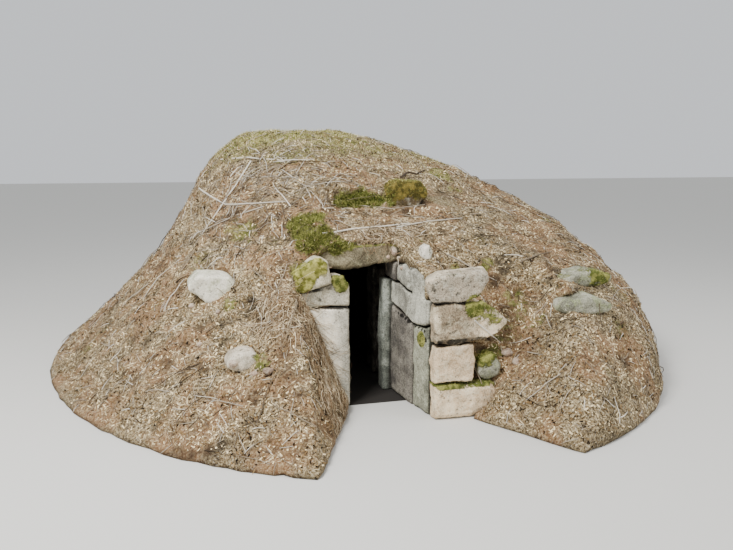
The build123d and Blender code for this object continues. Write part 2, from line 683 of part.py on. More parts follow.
def passage_air():
    """The clear space from the doorway to the chamber, open to the sky in front of the lintel."""
    width = (PASSAGE_LEFT - BEVEL, PASSAGE_RIGHT + BEVEL)
    roofed = box(width, (JAMB_DEPTH, CHAMBER_FRONT), (0, DOOR_HEIGHT))
    flare = extrude(
        polygon(
            (DOOR_LEFT, WING_FRONT),
            (DOOR_LEFT, WING_START_Y),
            (PASSAGE_RIGHT + BEVEL, WING_START_Y),
            (WING_CORNER_X + BEVEL, WING_FRONT),
        ),
        amount=FAR,
    )
    under_lintel = box((DOOR_LEFT, STONE_RIGHT), (WING_FRONT, WING_START_Y), (0, DOOR_HEIGHT))
    over_jamb = box((LINTEL_SHOWS_FROM, DOOR_LEFT), (0, JAMB_DEPTH), (UPRIGHT_HEIGHT, FAR))
    over_door = box((DOOR_LEFT, PASSAGE_RIGHT + BEVEL), (JAMB_DEPTH, INNER_LINTEL_Y), (POST_HEIGHT, BEARING_TOP))
    joint_width = (DOOR_RIGHT, PASSAGE_RIGHT + SLAB_THICKNESS)
    post_joint = box(joint_width, (POST_FRONT - BEVEL, POST_FRONT + BEVEL), (0, POST_HEIGHT))
    return roofed + in_front_of(flare, JAMB_DEPTH) + (flare & under_lintel) + over_jamb + over_door + post_joint


def shelf():
    """What is cleared above the shallow shelf of earth that climbs from the lintel to the ledge."""
    lintel_earth = Vector(SHELF_LEFT_X, JAMB_DEPTH, shelf_height(JAMB_DEPTH))
    wall_earth = Vector(LEDGE_LEFT_X, FRONT_WALL_Y, shelf_height(FRONT_WALL_Y))
    profile = polygon(
        (WING_FRONT, shelf_height(WING_FRONT)),
        (FRONT_WALL_Y, wall_earth.Z),
        (LEDGE_Y, wall_earth.Z),
        (LEDGE_Y, FAR),
        (WING_FRONT, FAR),
    )
    above = extrude(sideways(-FAR) * profile, amount=2 * FAR)
    up_the_bank = Vector(-cos(radians(SHELF_BANK_SLOPE)), 0, sin(radians(SHELF_BANK_SLOPE)))
    toe = lintel_earth - wall_earth
    left_side = Plane(origin=wall_earth, x_dir=toe, z_dir=up_the_bank.cross(toe))
    return split(above, left_side, keep=Keep.TOP)


def stonework(earth):
    """Every stone by name, in the entry frame."""
    rear = rear_wall()
    stones = {
        "left_jamb_upright": left_upright(),
        "left_jamb_block": left_block(),
        "left_jamb_capstone": left_capstone(),
        "entrance_lintel": lintel(),
        "inner_lintel": inner_lintel(),
        "passage_left_lower": passage_left(0, PASSAGE_COURSE),
        "passage_left_upper": passage_left(PASSAGE_COURSE, DOOR_HEIGHT),
        "passage_right_wall": passage_right(),
        "right_jamb_post": right_post(),
        "right_bearing_stone": right_bearing(),
        "wing_lower_slab": lower_slab(),
        "wing_outer_slab": outer_slab(),
        "wing_upper_slab": upper_slab(),
        "wing_corbel_block": corbel(),
        "wing_foot_boulder": foot_boulder(),
        "wing_low_boulder": low_boulder(),
        "wing_middle_boulder": middle_boulder(),
        "wing_capstone": wing_capstone(),
        "chamber_left_wall": side_wall(STONE_LEFT, CHAMBER_LEFT, WALL_BATTER) - rear,
        "chamber_right_wall": side_wall(STONE_RIGHT, CHAMBER_RIGHT, -WALL_BATTER) - rear,
        "chamber_rear_wall": rear,
        "front_wall_left_pier": front_pier(STONE_LEFT, PASSAGE_LEFT),
        "front_wall_right_pier": front_pier(STONE_RIGHT, PASSAGE_RIGHT),
        "front_wall_header": front_header(),
        "ledge_slab": ledge_slab(),
        "ledge_boulder": ledge_boulder(),
        "left_slope_boulder": bedded(earth, *SLOPE_BOULDER, SLOPE_BOULDER_TILT),
        "left_slope_stone": bedded(earth, *SLOPE_STONE),
        "right_bank_slab": bedded(earth, *BANK_SLAB, BANK_SLAB_TILT),
        "right_bank_stone": bedded(earth, *BANK_STONE),
        "shelf_stone": shelf_stone(),
        "wing_side_stone": side_stone(),
    }
    for index in range(ROOF_SLABS):
        stones[f"roof_slab_{index + 1}"] = roof_slab(index)
    return stones


def earthwork(earth, stones):
    """The earth cover by name, cut to seat on every stone and parted along the faces of the stonework."""
    chamber_air = box((CHAMBER_LEFT, CHAMBER_RIGHT), (CHAMBER_FRONT, CHAMBER_BACK), (0, CHAMBER_HEIGHT))
    body = earth - chamber_air - list(stones.values())
    middle = body & box((STONE_LEFT, STONE_RIGHT), (-FAR, 2 * FAR), (0, FAR))
    front = middle & box((STONE_LEFT, STONE_RIGHT), (-FAR, FRONT_WALL_Y), (0, FAR))
    over_entry = box(
        (PASSAGE_LEFT - PASSAGE_WALL, PASSAGE_RIGHT + PASSAGE_WALL),
        (STONE_REVEAL, FRONT_WALL_Y),
        (DOOR_HEIGHT, FAR),
    )
    sides = front - over_entry
    return {
        "mound_left_flank": body & box((-FAR, STONE_LEFT), (-FAR, 2 * FAR), (0, FAR)),
        "mound_right_flank": body & box((STONE_RIGHT, FAR), (-FAR, 2 * FAR), (0, FAR)),
        "mound_rear": middle & box((STONE_LEFT, STONE_RIGHT), (STONE_BACK, 2 * FAR), (0, FAR)),
        "mound_crown": middle & box((STONE_LEFT, STONE_RIGHT), (FRONT_WALL_Y, STONE_BACK), (CHAMBER_HEIGHT, FAR)),
        "mound_over_entry": front & over_entry,
        "mound_left_shoulder": sides & box((-FAR, 0), (-FAR, FRONT_WALL_Y), (0, FAR)),
        "mound_right_shoulder": sides & box((0, FAR), (-FAR, FRONT_WALL_Y), (0, FAR)),
    }


def main():
    """Builds every piece and writes one file for each."""
    os.makedirs("parts", exist_ok=True)
    earth = mound() - entry_hollow() - passage_air() - shelf()
    pieces = stonework(earth)
    for name, segment in earthwork(earth, pieces).items():
        pieces[name] = segment.solids().sort_by(SortBy.VOLUME)[-1]
    middle = Compound(list(pieces.values())).bounding_box().center()
    for name, piece in pieces.items():
        export_step(Location((-middle.X, -middle.Y, 0)) * piece, f"parts/{name}.step")


main()
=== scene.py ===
import logging
import math
from dataclasses import dataclass, field
from enum import Enum
from typing import Any, Iterable, Sequence

import bmesh
import bpy
import numpy as np
from mathutils import Euler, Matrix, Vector, noise
from mathutils.bvhtree import BVHTree


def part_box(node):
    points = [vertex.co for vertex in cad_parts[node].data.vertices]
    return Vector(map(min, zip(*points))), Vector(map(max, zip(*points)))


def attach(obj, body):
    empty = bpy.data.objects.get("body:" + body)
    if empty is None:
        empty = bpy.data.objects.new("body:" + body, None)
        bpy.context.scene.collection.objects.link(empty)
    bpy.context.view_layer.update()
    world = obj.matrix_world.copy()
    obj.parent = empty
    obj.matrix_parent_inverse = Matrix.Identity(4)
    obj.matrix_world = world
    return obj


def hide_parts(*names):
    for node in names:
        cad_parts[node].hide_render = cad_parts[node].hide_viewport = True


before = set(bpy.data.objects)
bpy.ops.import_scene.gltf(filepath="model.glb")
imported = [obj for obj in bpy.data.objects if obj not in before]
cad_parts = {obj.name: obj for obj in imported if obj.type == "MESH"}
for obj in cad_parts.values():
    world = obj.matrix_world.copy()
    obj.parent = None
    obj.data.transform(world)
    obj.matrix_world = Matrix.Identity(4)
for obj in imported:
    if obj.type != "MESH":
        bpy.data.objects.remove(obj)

# An earth-covered stone shelter. Lengths are in metres, in the row frame: +Z up, the doorway faces -Y.
# Places at the entry are in the entry frame: its origin is on the ground in the middle of the doorway,
# level with the front of the left jamb. Colours are sRGB from 0 to 255.

# A Span is a range, or where a smooth rise starts and ends. A Fall is a share, and how much of it a full mask
# takes. A Beta holds the two numbers of a beta distribution.

Colour = tuple[float, float, float]
Place = tuple[float, float, float]
Pixel = tuple[float, float]
Span = tuple[float, float]
Fall = tuple[float, float]
Beta = tuple[float, float]
LOG = logging.getLogger("shelter")
SRGB_GAMMA = 2.2

MOUND_NODES = tuple(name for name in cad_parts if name.startswith("mound_"))
STONE_NODES = tuple(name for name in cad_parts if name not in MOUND_NODES)
ROOF_NODES = tuple(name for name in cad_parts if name.startswith("roof_slab_"))
PASSAGE_WALLS = ("passage_left_lower", "passage_left_upper", "passage_right_wall")
CHAMBER_WALLS = (
    "front_wall_left_pier", "front_wall_right_pier", "front_wall_header",
    "chamber_left_wall", "chamber_right_wall", "chamber_rear_wall",
)


class Slot(Enum):
    """The record's material slots."""

    GRANITE = "granite"
    MOSSY = "mossy_granite"
    EARTH = "earth_and_needle_litter"


# ---------------------------------------------------------------- shader maths


class Value:
    """A socket of a shader, with arithmetic that adds nodes."""

    def __init__(self, shader: "Shader", socket: bpy.types.NodeSocket) -> None:
        """Wraps one output socket of that shader."""
        self.shader = shader
        self.socket = socket

    def maths(self, operation: str, *others: Any) -> "Value":
        """A Math node that takes this value first and the others after it."""
        inputs = {index: other for index, other in enumerate((self, *others))}
        return self.shader.node("ShaderNodeMath", {"operation": operation}, inputs)

    def __add__(self, other: Any) -> "Value":
        """This value plus another."""
        return self.maths("ADD", other)

    def __sub__(self, other: Any) -> "Value":
        """This value minus another."""
        return self.maths("SUBTRACT", other)

    def __mul__(self, other: Any) -> "Value":
        """This value times another."""
        return self.maths("MULTIPLY", other)

    def __rsub__(self, other: float) -> "Value":
        """A number minus this value."""
        return self.shader.node("ShaderNodeMath", {"operation": "SUBTRACT"}, {0: other, 1: self})

    __radd__ = __add__
    __rmul__ = __mul__

    def between(self, low: float, high: float) -> "Value":
        """Rises smoothly from 0 at low to 1 at high."""
        inputs = {"Value": self, "From Min": low, "From Max": high}
        return self.shader.node("ShaderNodeMapRange", {"interpolation_type": "SMOOTHSTEP"}, inputs)


@dataclass(frozen=True)
class Noise:
    """A shader's noise: waves a metre, detail, roughness, and the values between which its patches rise."""

    scale: float
    detail: float = 3
    rough: float = 0.55
    span: Span = (0.4, 0.6)


class Shader:
    """The node tree of one material."""

    BUMP_STRENGTH = 0.8
    ROUGHNESS = 0.95
    SPECULAR = 0.2

    def __init__(self, name: str) -> None:
        """Makes an empty material.

        Args:
            name: the material's name.
        """
        self.material = bpy.data.materials.new(name)
        self.material.use_nodes = True
        self.tree = self.material.node_tree
        self.tree.nodes.clear()
        self.place = self.node("ShaderNodeTexCoord", out="Object")

    def node(
        self, kind: str, settings: dict | None = None, inputs: dict | None = None, out: Any = 0
    ) -> Value:
        """Adds any node.

        Args:
            kind: the node's type.
            settings: its properties, set before its sockets.
            inputs: a value or a link for each socket, by name or index.
            out: the output wanted, by name or index.

        Returns:
            That output.
        """
        made = self.tree.nodes.new(kind)
        for key, value in (settings or {}).items():
            setattr(made, key, value)
        for key, value in (inputs or {}).items():
            if isinstance(value, Value):
                self.tree.links.new(value.socket, made.inputs[key])
            else:
                made.inputs[key].default_value = value
        return Value(self, made.outputs[out])

    def mask(self, name: str) -> Value:
        """The mesh's own mask of that name."""
        return self.node("ShaderNodeAttribute", {"attribute_name": name}, out="Fac")

    def noise(self, look: Noise, place: Value | None = None) -> Value:
        """Noise from about 0.25 to 0.75, at the object's places or at others."""
        values = {"Scale": look.scale, "Detail": look.detail, "Roughness": look.rough}
        return self.node("ShaderNodeTexNoise", {}, {"Vector": place or self.place, **values})

    def patches(self, look: Noise, place: Value | None = None) -> Value:
        """Noise that rises from 0 to 1 over its span."""
        return self.noise(look, place).between(*look.span)

    def scaled(self, x: float, y: float, z: float) -> Value:
        """The place with each axis scaled, for streaks."""
        return self.node("ShaderNodeMapping", {}, {"Vector": self.place, "Scale": (x, y, z)})

    def mix(self, factor: Any, first: Any, second: Any, blend: str = "MIX") -> Value:
        """Two colours blended by a factor."""
        inputs = {0: factor, 6: rgba(first), 7: rgba(second)}
        return self.node("ShaderNodeMix", {"data_type": "RGBA", "blend_type": blend}, inputs, out=2)

    def coated(self, colour: Any, *coats: tuple[Any, Any]) -> Value:
        """Lays coats over a colour, one after another.

        Args:
            colour: what lies under them.
            coats: how much of each coat covers what is under it, and its colour.

        Returns:
            The colour on top.
        """
        for cover, coat in coats:
            colour = self.mix(cover, colour, coat)
        return colour

    def rough_surface(self, colour: Value, height: Value, depth: float) -> bpy.types.Material:
        """Ends the tree with a rough, uneven surface.

        Args:
            colour: the base colour.
            height: what the bump follows.
            depth: how deep the bump is, in metres.

        Returns:
            The finished material.
        """
        uneven = {"Strength": self.BUMP_STRENGTH, "Distance": depth, "Height": height}
        normal = self.node("ShaderNodeBump", {}, uneven)
        look = {"Base Color": colour, "Roughness": self.ROUGHNESS, "Specular IOR Level": self.SPECULAR}
        return self.end({**look, "Normal": normal})

    def end(self, look: dict) -> bpy.types.Material:
        """Ends the tree with a surface.

        Args:
            look: what the surface's sockets hold.

        Returns:
            The finished material.
        """
        surface = self.node("ShaderNodeBsdfPrincipled", {}, look)
        output = self.tree.nodes.new("ShaderNodeOutputMaterial")
        self.tree.links.new(surface.socket, output.inputs["Surface"])
        return self.material


def rgba(colour: Any) -> Any:
    """A colour as linear RGBA; a link passes through.

    Args:
        colour: an sRGB colour or a link.

    Returns:
        What a colour socket takes.
    """
    if isinstance(colour, Value):
        return colour
    return (*[(part / 255) ** SRGB_GAMMA for part in colour], 1.0)


# ---------------------------------------------------------------- finishes


@dataclass(frozen=True)
class StoneFinish:
    """Weathered granite: two tones, lichen, dark spots, streaks, grain, painted shade in the joints and gaps,
    and moss where the mesh says so.
    """

    name: str
    pale: Colour
    dark: Colour
    lichen: Colour = (196, 194, 178)
    lichen_cover: float = 0.35
    spots: Colour = (84, 78, 70)
    spot_cover: float = 0.35
    streaks: float = 0.3
    moss_dark: Colour = (94, 100, 46)
    moss_light: Colour = (166, 164, 92)

    TONES = Noise(2.7, 5, span=(0.38, 0.62))
    LICHEN = Noise(9, 7, 0.7, (0.49, 0.6))
    SPOTS = Noise(19, 6, 0.75, (0.54, 0.62))
    STREAKS = Noise(9, 4, 0.6, (0.45, 0.7))
    STREAK_SQUASH = 0.12
    STREAK = (92, 90, 82)
    STAIN = (132, 134, 126)
    STAIN_COVER = 0.7
    GRAIN = Noise(75, 3, 0.7, (0.38, 0.62))
    GRAIN_COVER = 0.5
    BLACK_SPECK = (36, 34, 32)
    WHITE_SPECK = (244, 240, 230)
    PITS = Noise(38, 3, 0.6, (0.61, 0.68))
    PIT = (62, 56, 48)
    PIT_COVER = 0.55
    # Painted shade on the stone where it meets another stone, and in the joints of rubble walls.
    JOINT_SHADE = (38, 32, 26)
    JOINT_SHADE_COVER = 0.8
    # Painted shadow in the gaps between stones and under overhanging stones, where the dark mask marks them.
    GAP_SHADOW = (20, 17, 14)
    GAP_SHADOW_SPAN = (0.1, 0.7)
    GAP_SHADOW_COVER = 0.92
    TUFTS = Noise(46, 5, 0.7, (0.35, 0.6))
    MOSS_TONES = Noise(17, 4, span=(0.4, 0.62))
    MOSS_SHADE = (30, 34, 12)
    MOSS_LIT = 0.55
    MOSS_EDGE = 0.9
    MOSS_SPAN = (0.42, 0.62)
    LUMPS = Noise(28, 6, 0.6)
    HEIGHTS = {"grain": 0.25, "lumps": 0.6, "moss": 1.6}
    DEPTH = 0.012

    def material(self) -> bpy.types.Material:
        """The finish as a material."""
        shader = Shader(self.name)
        grain = shader.noise(self.GRAIN)
        tufts = shader.noise(self.TUFTS)
        moss = (shader.mask("moss") + (tufts - 0.5) * self.MOSS_EDGE).between(*self.MOSS_SPAN)
        squashed = shader.scaled(1, 1, self.STREAK_SQUASH)
        colour = shader.coated(
            self.pale,
            (shader.patches(self.TONES), self.dark),
            (shader.mask("stain") * self.STAIN_COVER, self.STAIN),
            (shader.patches(self.LICHEN) * self.lichen_cover, self.lichen),
            (shader.patches(self.SPOTS) * self.spot_cover, self.spots),
            (shader.patches(self.STREAKS, squashed) * self.streaks, self.STREAK),
        )
        specks = shader.mix(grain.between(*self.GRAIN.span), self.BLACK_SPECK, self.WHITE_SPECK)
        colour = shader.coated(
            shader.mix(self.GRAIN_COVER, colour, specks, "SOFT_LIGHT"),
            (shader.patches(self.PITS) * self.PIT_COVER, self.PIT),
            (shader.mask("joint") * self.JOINT_SHADE_COVER, self.JOINT_SHADE),
            (shader.mask("dark").between(*self.GAP_SHADOW_SPAN) * self.GAP_SHADOW_COVER, self.GAP_SHADOW),
            (moss, self.green(shader, tufts)),
        )
        lumps = grain * self.HEIGHTS["grain"] + shader.noise(self.LUMPS) * self.HEIGHTS["lumps"]
        return shader.rough_surface(colour, lumps + moss * tufts * self.HEIGHTS["moss"], self.DEPTH)

    def green(self, shader: Shader, tufts: Value) -> Value:
        """The moss's colour.

        Args:
            shader: the material's nodes.
            tufts: the noise of the moss's tufts.

        Returns:
            Two greens in patches, darker between the tufts.
        """
        green = shader.mix(shader.patches(self.MOSS_TONES), self.moss_dark, self.moss_light)
        shade = shader.mix(0.5, green, self.MOSS_SHADE)
        return shader.mix(tufts.between(*self.TUFTS.span) * self.MOSS_LIT, shade, green)


@dataclass(frozen=True)
class EarthFinish:
    """Soil under dry needles and twigs, with moss and straw where the mesh says so, painted shade in the
    hollows, and painted shade with dark soil where the mesh marks it dark.
    """

    name: str = "littered_earth"
    soil: Colour = (50, 41, 32)
    litter: Colour = (124, 106, 78)
    pale: Colour = (188, 171, 134)
    bleached: Colour = (228, 216, 192)
    rusty: Colour = (146, 104, 72)
    shade: Colour = (40, 33, 26)
    # Painted shade and dark soil, mostly shade under overhangs, under the ledge and in the joints.
    shade_and_dark_soil: Colour = (26, 22, 18)
    straw_dark: Colour = (70, 54, 40)
    straw_light: Colour = (198, 176, 140)
    moss_dark: Colour = (88, 92, 44)
    moss_light: Colour = (164, 158, 100)
    deep_dark: Colour = (30, 38, 14)
    deep_light: Colour = (96, 106, 42)

    FINE = Noise(44, 8, 0.78)
    LITTER_SPAN = (0.4, 0.5)
    PALE_SPAN = (0.49, 0.6)
    STRAW_SPAN = (0.42, 0.58)
    BLEACHED = Noise(62, 6, 0.8, (0.56, 0.64))
    RUSTY = Noise(1.7, 5, 0.6, (0.44, 0.6))
    RUSTY_COVER = 0.45
    STRAW_COVER = 0.7
    SHADE_COVER = 0.8
    SHADE_AND_DARK_SOIL_COVER = 0.85
    TUFTS = Noise(38, 6, 0.75, (0.4, 0.62))
    MOSS_TONES = Noise(9, 5, 0.6)
    MOSS_EDGE = 1.3
    MOSS_SPAN = (0.4, 0.7)
    MOSS_COVER = 0.9
    DEPTH = 0.02

    def material(self) -> bpy.types.Material:
        """The finish as a material."""
        shader = Shader(self.name)
        fine = shader.noise(self.FINE)
        tufts = shader.noise(self.TUFTS)
        straw = shader.mix(fine.between(*self.STRAW_SPAN), self.straw_dark, self.straw_light)
        moss = (shader.mask("moss") + (tufts - 0.5) * self.MOSS_EDGE).between(*self.MOSS_SPAN)
        green = shader.mix(shader.patches(self.MOSS_TONES), self.moss_dark, self.moss_light)
        # Deep moss darker between its tufts and lighter on them: partly the moss's own colour, partly painted
        # shade and light.
        deep = shader.mix(tufts.between(*self.TUFTS.span), self.deep_dark, self.deep_light)
        colour = shader.coated(
            self.soil,
            (fine.between(*self.LITTER_SPAN), self.litter),
            (fine.between(*self.PALE_SPAN), self.pale),
            (shader.patches(self.BLEACHED), self.bleached),
            (shader.patches(self.RUSTY) * self.RUSTY_COVER, self.rusty),
            (shader.mask("straw") * self.STRAW_COVER, straw),
            (shader.mask("hollow") * self.SHADE_COVER, self.shade),
            # painted shade and dark soil on the dark mask
            (shader.mask("dark") * self.SHADE_AND_DARK_SOIL_COVER, self.shade_and_dark_soil),
            (moss * self.MOSS_COVER, shader.mix(shader.mask("deep"), green, deep)),
        )
        return shader.rough_surface(colour, fine + tufts * moss, self.DEPTH)


@dataclass(frozen=True)
class ScatterFinish:
    """Loose bits that vary from one tone to another along the mesh's tone mask."""

    name: str
    low: Colour
    middle: Colour
    high: Colour

    MOTTLE = Noise(60)
    MOTTLE_SHADE = (50, 42, 32)
    MOTTLE_COVER = 0.3
    DEPTH = 0.003

    def material(self) -> bpy.types.Material:
        """The finish as a material."""
        shader = Shader(self.name)
        tone = shader.mask("tone")
        mottle = shader.noise(self.MOTTLE)
        tones = ((tone.between(0.0, 0.5), self.middle), (tone.between(0.5, 1.0), self.high))
        colour = shader.coated(self.low, *tones)
        shade = shader.mix(0.5, colour, self.MOTTLE_SHADE)
        colour = shader.mix(mottle.between(*self.MOTTLE.span) * self.MOTTLE_COVER, colour, shade)
        return shader.rough_surface(colour, mottle, self.DEPTH)


# ---------------------------------------------------------------- mesh helpers


@dataclass(frozen=True)
class Relief:
    """Fractal humps: their height, waves a metre, octaves, and a seed that sets them apart."""

    height: float
    waves: float
    octaves: int = 3
    seed: float = 0

    SHIFT = (7.31, 3.17, 5.73)
    FRACTAL = (1.0, 2.0)

    def at(self, points: np.ndarray, seed: float = 0) -> np.ndarray:
        """How high the humps are at each point, from about -height to height.

        Args:
            points: the points.
            seed: added to the humps' own seed.

        Returns:
            One height for each point.
        """
        shift = Vector([part * (self.seed + seed) for part in self.SHIFT])
        humps = [noise.fractal(Vector(p) * self.waves + shift, *self.FRACTAL, self.octaves) for p in points]
        return self.height * np.array(humps)


def smooth_step(values: np.ndarray, low: float, high: float) -> np.ndarray:
    """Rises smoothly from 0 at low to 1 at high."""
    t = np.clip((values - low) / (high - low), 0, 1)
    return t * t * (3 - 2 * t)


def lengths(vectors: np.ndarray) -> np.ndarray:
    """The length of each row."""
    return np.sqrt((vectors**2).sum(axis=1))


def unit(vectors: np.ndarray) -> np.ndarray:
    """Each row scaled to length one."""
    return vectors / np.maximum(lengths(vectors), 1e-9)[:, None]


def node_mesh(name: str) -> tuple[np.ndarray, list[tuple[int, ...]]]:
    """Reads the mesh of a CAD node.

    Args:
        name: the node's name.

    Returns:
        Its corners and its faces.
    """
    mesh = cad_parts[name].data
    points = np.empty(len(mesh.vertices) * 3)
    mesh.vertices.foreach_get("co", points)
    return points.reshape(-1, 3), [tuple(face.vertices) for face in mesh.polygons]


def tree_of(names: Iterable[str]) -> BVHTree:
    """Joins the faces of several CAD nodes.

    Args:
        names: the nodes' names.

    Returns:
        A search tree over their faces.
    """
    points: list[Sequence[float]] = []
    faces: list[tuple[int, ...]] = []
    for name in names:
        corners, polygons = node_mesh(name)
        faces += [tuple(index + len(points) for index in polygon) for polygon in polygons]
        points += corners.tolist()
    return BVHTree.FromPolygons(points, faces)


def distances(tree: BVHTree, points: np.ndarray, limit: float) -> np.ndarray:
    """The distance from each point to a tree, up to a limit."""
    found = [tree.find_nearest(Vector(p), limit)[3] for p in points]
    return np.array([limit if d is None else d for d in found])


@dataclass
class Piece:
    """A mesh object under construction."""

    name: str
    mesh: bpy.types.Mesh

    WELD = 1e-5
    LEAST_WEIGHT = 0.01
    SMOOTHING = 0.5

    @classmethod
    def from_data(cls, name: str, points: Any, faces: Any) -> "Piece":
        """Makes a piece from corners and faces.

        Args:
            name: the piece's name.
            points: its corners.
            faces: the corners of each face, by number.

        Returns:
            The piece.
        """
        mesh = bpy.data.meshes.new(name)
        mesh.from_pydata(np.asarray(points).tolist(), [], faces)
        mesh.update()
        return cls(name, mesh)

    @classmethod
    def from_nodes(cls, name: str, nodes: Iterable[str], push: float = 0.0) -> "Piece":
        """Makes a piece that copies several CAD nodes as closed shells, each pushed outwards a little.

        Args:
            name: the new piece's name.
            nodes: the CAD nodes to copy.
            push: how far each corner moves along its normal.

        Returns:
            The piece.
        """
        shells = bmesh.new()
        for node in nodes:
            shell = bmesh.new()
            shell.from_mesh(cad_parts[node].data)
            bmesh.ops.remove_doubles(shell, verts=shell.verts, dist=cls.WELD)
            bmesh.ops.recalc_face_normals(shell, faces=shell.faces)
            shell.normal_update()
            for vertex in shell.verts:
                vertex.co += vertex.normal * push
            copy = bpy.data.meshes.new("shell")
            shell.to_mesh(copy)
            shell.free()
            shells.from_mesh(copy)
            bpy.data.meshes.remove(copy)
        mesh = bpy.data.meshes.new(name)
        shells.to_mesh(mesh)
        shells.free()
        return cls(name, mesh)

    def modified(self, *steps: tuple[str, dict[str, Any]], group: np.ndarray | None = None) -> "Piece":
        """Runs modifiers over the mesh.

        Args:
            steps: the type and settings of each modifier, in order.
            group: weights of a vertex group called "weights".

        Returns:
            This piece.
        """
        holder = bpy.data.objects.new("holder", self.mesh)
        bpy.context.scene.collection.objects.link(holder)
        if group is not None:
            weights = holder.vertex_groups.new(name="weights")
            for index in np.nonzero(group > self.LEAST_WEIGHT)[0]:
                weights.add([int(index)], float(group[index]), "REPLACE")
        for kind, settings in steps:
            modifier = holder.modifiers.new(kind, kind)
            for key, value in settings.items():
                setattr(modifier, key, value)
        evaluated = holder.evaluated_get(bpy.context.evaluated_depsgraph_get())
        self.mesh = bpy.data.meshes.new_from_object(evaluated)
        bpy.data.objects.remove(holder)
        return self

    def remeshed(self, voxel: float, rounds: int) -> "Piece":
        """The piece with an even skin of that voxel size, smoothed over that many rounds."""
        smooth = ("SMOOTH", {"factor": self.SMOOTHING, "iterations": rounds})
        return self.modified(("REMESH", {"mode": "VOXEL", "voxel_size": voxel}), smooth)

    def read(self, what: str) -> np.ndarray:
        """Reads three numbers from each vertex.

        Args:
            what: "co" for its place, "normal" for its outward normal.

        Returns:
            One row for each vertex.
        """
        values = np.empty(len(self.mesh.vertices) * 3)
        self.mesh.vertices.foreach_get(what, values)
        return values.reshape(-1, 3)

    def raised(self, heights: np.ndarray) -> None:
        """Moves every vertex out along its normal.

        Args:
            heights: how far each vertex moves.
        """
        places = self.read("co") + self.read("normal") * heights[:, None]
        self.mesh.vertices.foreach_set("co", places.ravel())
        self.mesh.update()

    def masks(self, **masks: np.ndarray) -> None:
        """Stores masks on the vertices, each under its own name."""
        for name, values in masks.items():
            layer = self.mesh.attributes.new(name, "FLOAT", "POINT")
            layer.data.foreach_set("value", np.asarray(values, dtype=np.float32))

    def triangles(self) -> int:
        """How many triangles the mesh has."""
        return sum(len(face.vertices) - 2 for face in self.mesh.polygons)

    def place(
        self, material: bpy.types.Material, slot: Slot, nodes: Sequence[str] = (), smooth: bool = True
    ) -> None:
        """Puts the piece in the scene.

        Args:
            material: its finish.
            slot: its material slot; not used.
            nodes: the CAD nodes it stands for.
            smooth: shades across the faces.
        """
        made = self.shown(material)
        self.mesh.polygons.foreach_set("use_smooth", [smooth] * len(self.mesh.polygons))
        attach(made, "root")
        if nodes:
            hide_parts(*nodes)
        LOG.info("%s: %d triangles", self.name, self.triangles())

    def shown(self, material: bpy.types.Material) -> bpy.types.Object:
        """Makes the piece's object.

        Args:
            material: its finish.

        Returns:
            The object.
        """
        self.mesh.name = self.name
        self.mesh.materials.clear()
        self.mesh.materials.append(material)
        made = bpy.data.objects.new(self.name, self.mesh)
        bpy.context.scene.collection.objects.link(made)
        return made


# ---------------------------------------------------------------- entry and weathering


@dataclass
class Entry:
    """The entry frame, and the camera that the photo was taken from."""

    door_left: float = -0.230
    eye_place: Place = (-1.898, -6.858, 2.54)
    tilt_degrees: float = 80.5
    heading_degrees: float = -15.0
    image: Pixel = (733, 550)
    focal_pixels: float = 720
    sensor: float = 36.0

    def __post_init__(self) -> None:
        """Finds the entry from the left jamb."""
        low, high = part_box("left_jamb_upright")
        self.origin = np.array([high[0] - self.door_left, low[1], 0.0])
        self.eye = Vector(self.origin + self.eye_place)
        self.turn = Euler((math.radians(self.tilt_degrees), 0.0, math.radians(self.heading_degrees)))
        self.solids = tree_of(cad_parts)

    def local(self, points: np.ndarray) -> np.ndarray:
        """Points of the row frame in the entry frame."""
        return points - self.origin

    def seen(self, tree: BVHTree, pixel: Pixel) -> Vector | None:
        """Finds what the camera sees through a pixel.

        Args:
            tree: the faces it can see.
            pixel: a pixel of the photo.

        Returns:
            Where it first meets them, in the row frame.
        """
        across, down = (place - size / 2 for place, size in zip(pixel, self.image))
        ahead = self.turn.to_matrix() @ Vector((across, -down, -self.focal_pixels))
        return tree.ray_cast(self.eye, ahead.normalized())[0]

    def found(self, pixel: Pixel) -> np.ndarray:
        """Where the camera first meets the solids through a pixel, in the entry frame."""
        return self.local(np.array(self.seen(self.solids, pixel)))


@dataclass(frozen=True)
class Patch:
    """A patch of moss, straw or dark soil: its place in the entry frame, its reach and how strong it is."""

    x: float
    y: float
    z: float
    reach: float
    strength: float = 1.0

    CORE = 0.35

    def weight(self, places: np.ndarray) -> np.ndarray:
        """How much of the patch each place has."""
        away = lengths(places - np.array([self.x, self.y, self.z]))
        return self.strength * (1 - smooth_step(away, self.reach * self.CORE, self.reach))


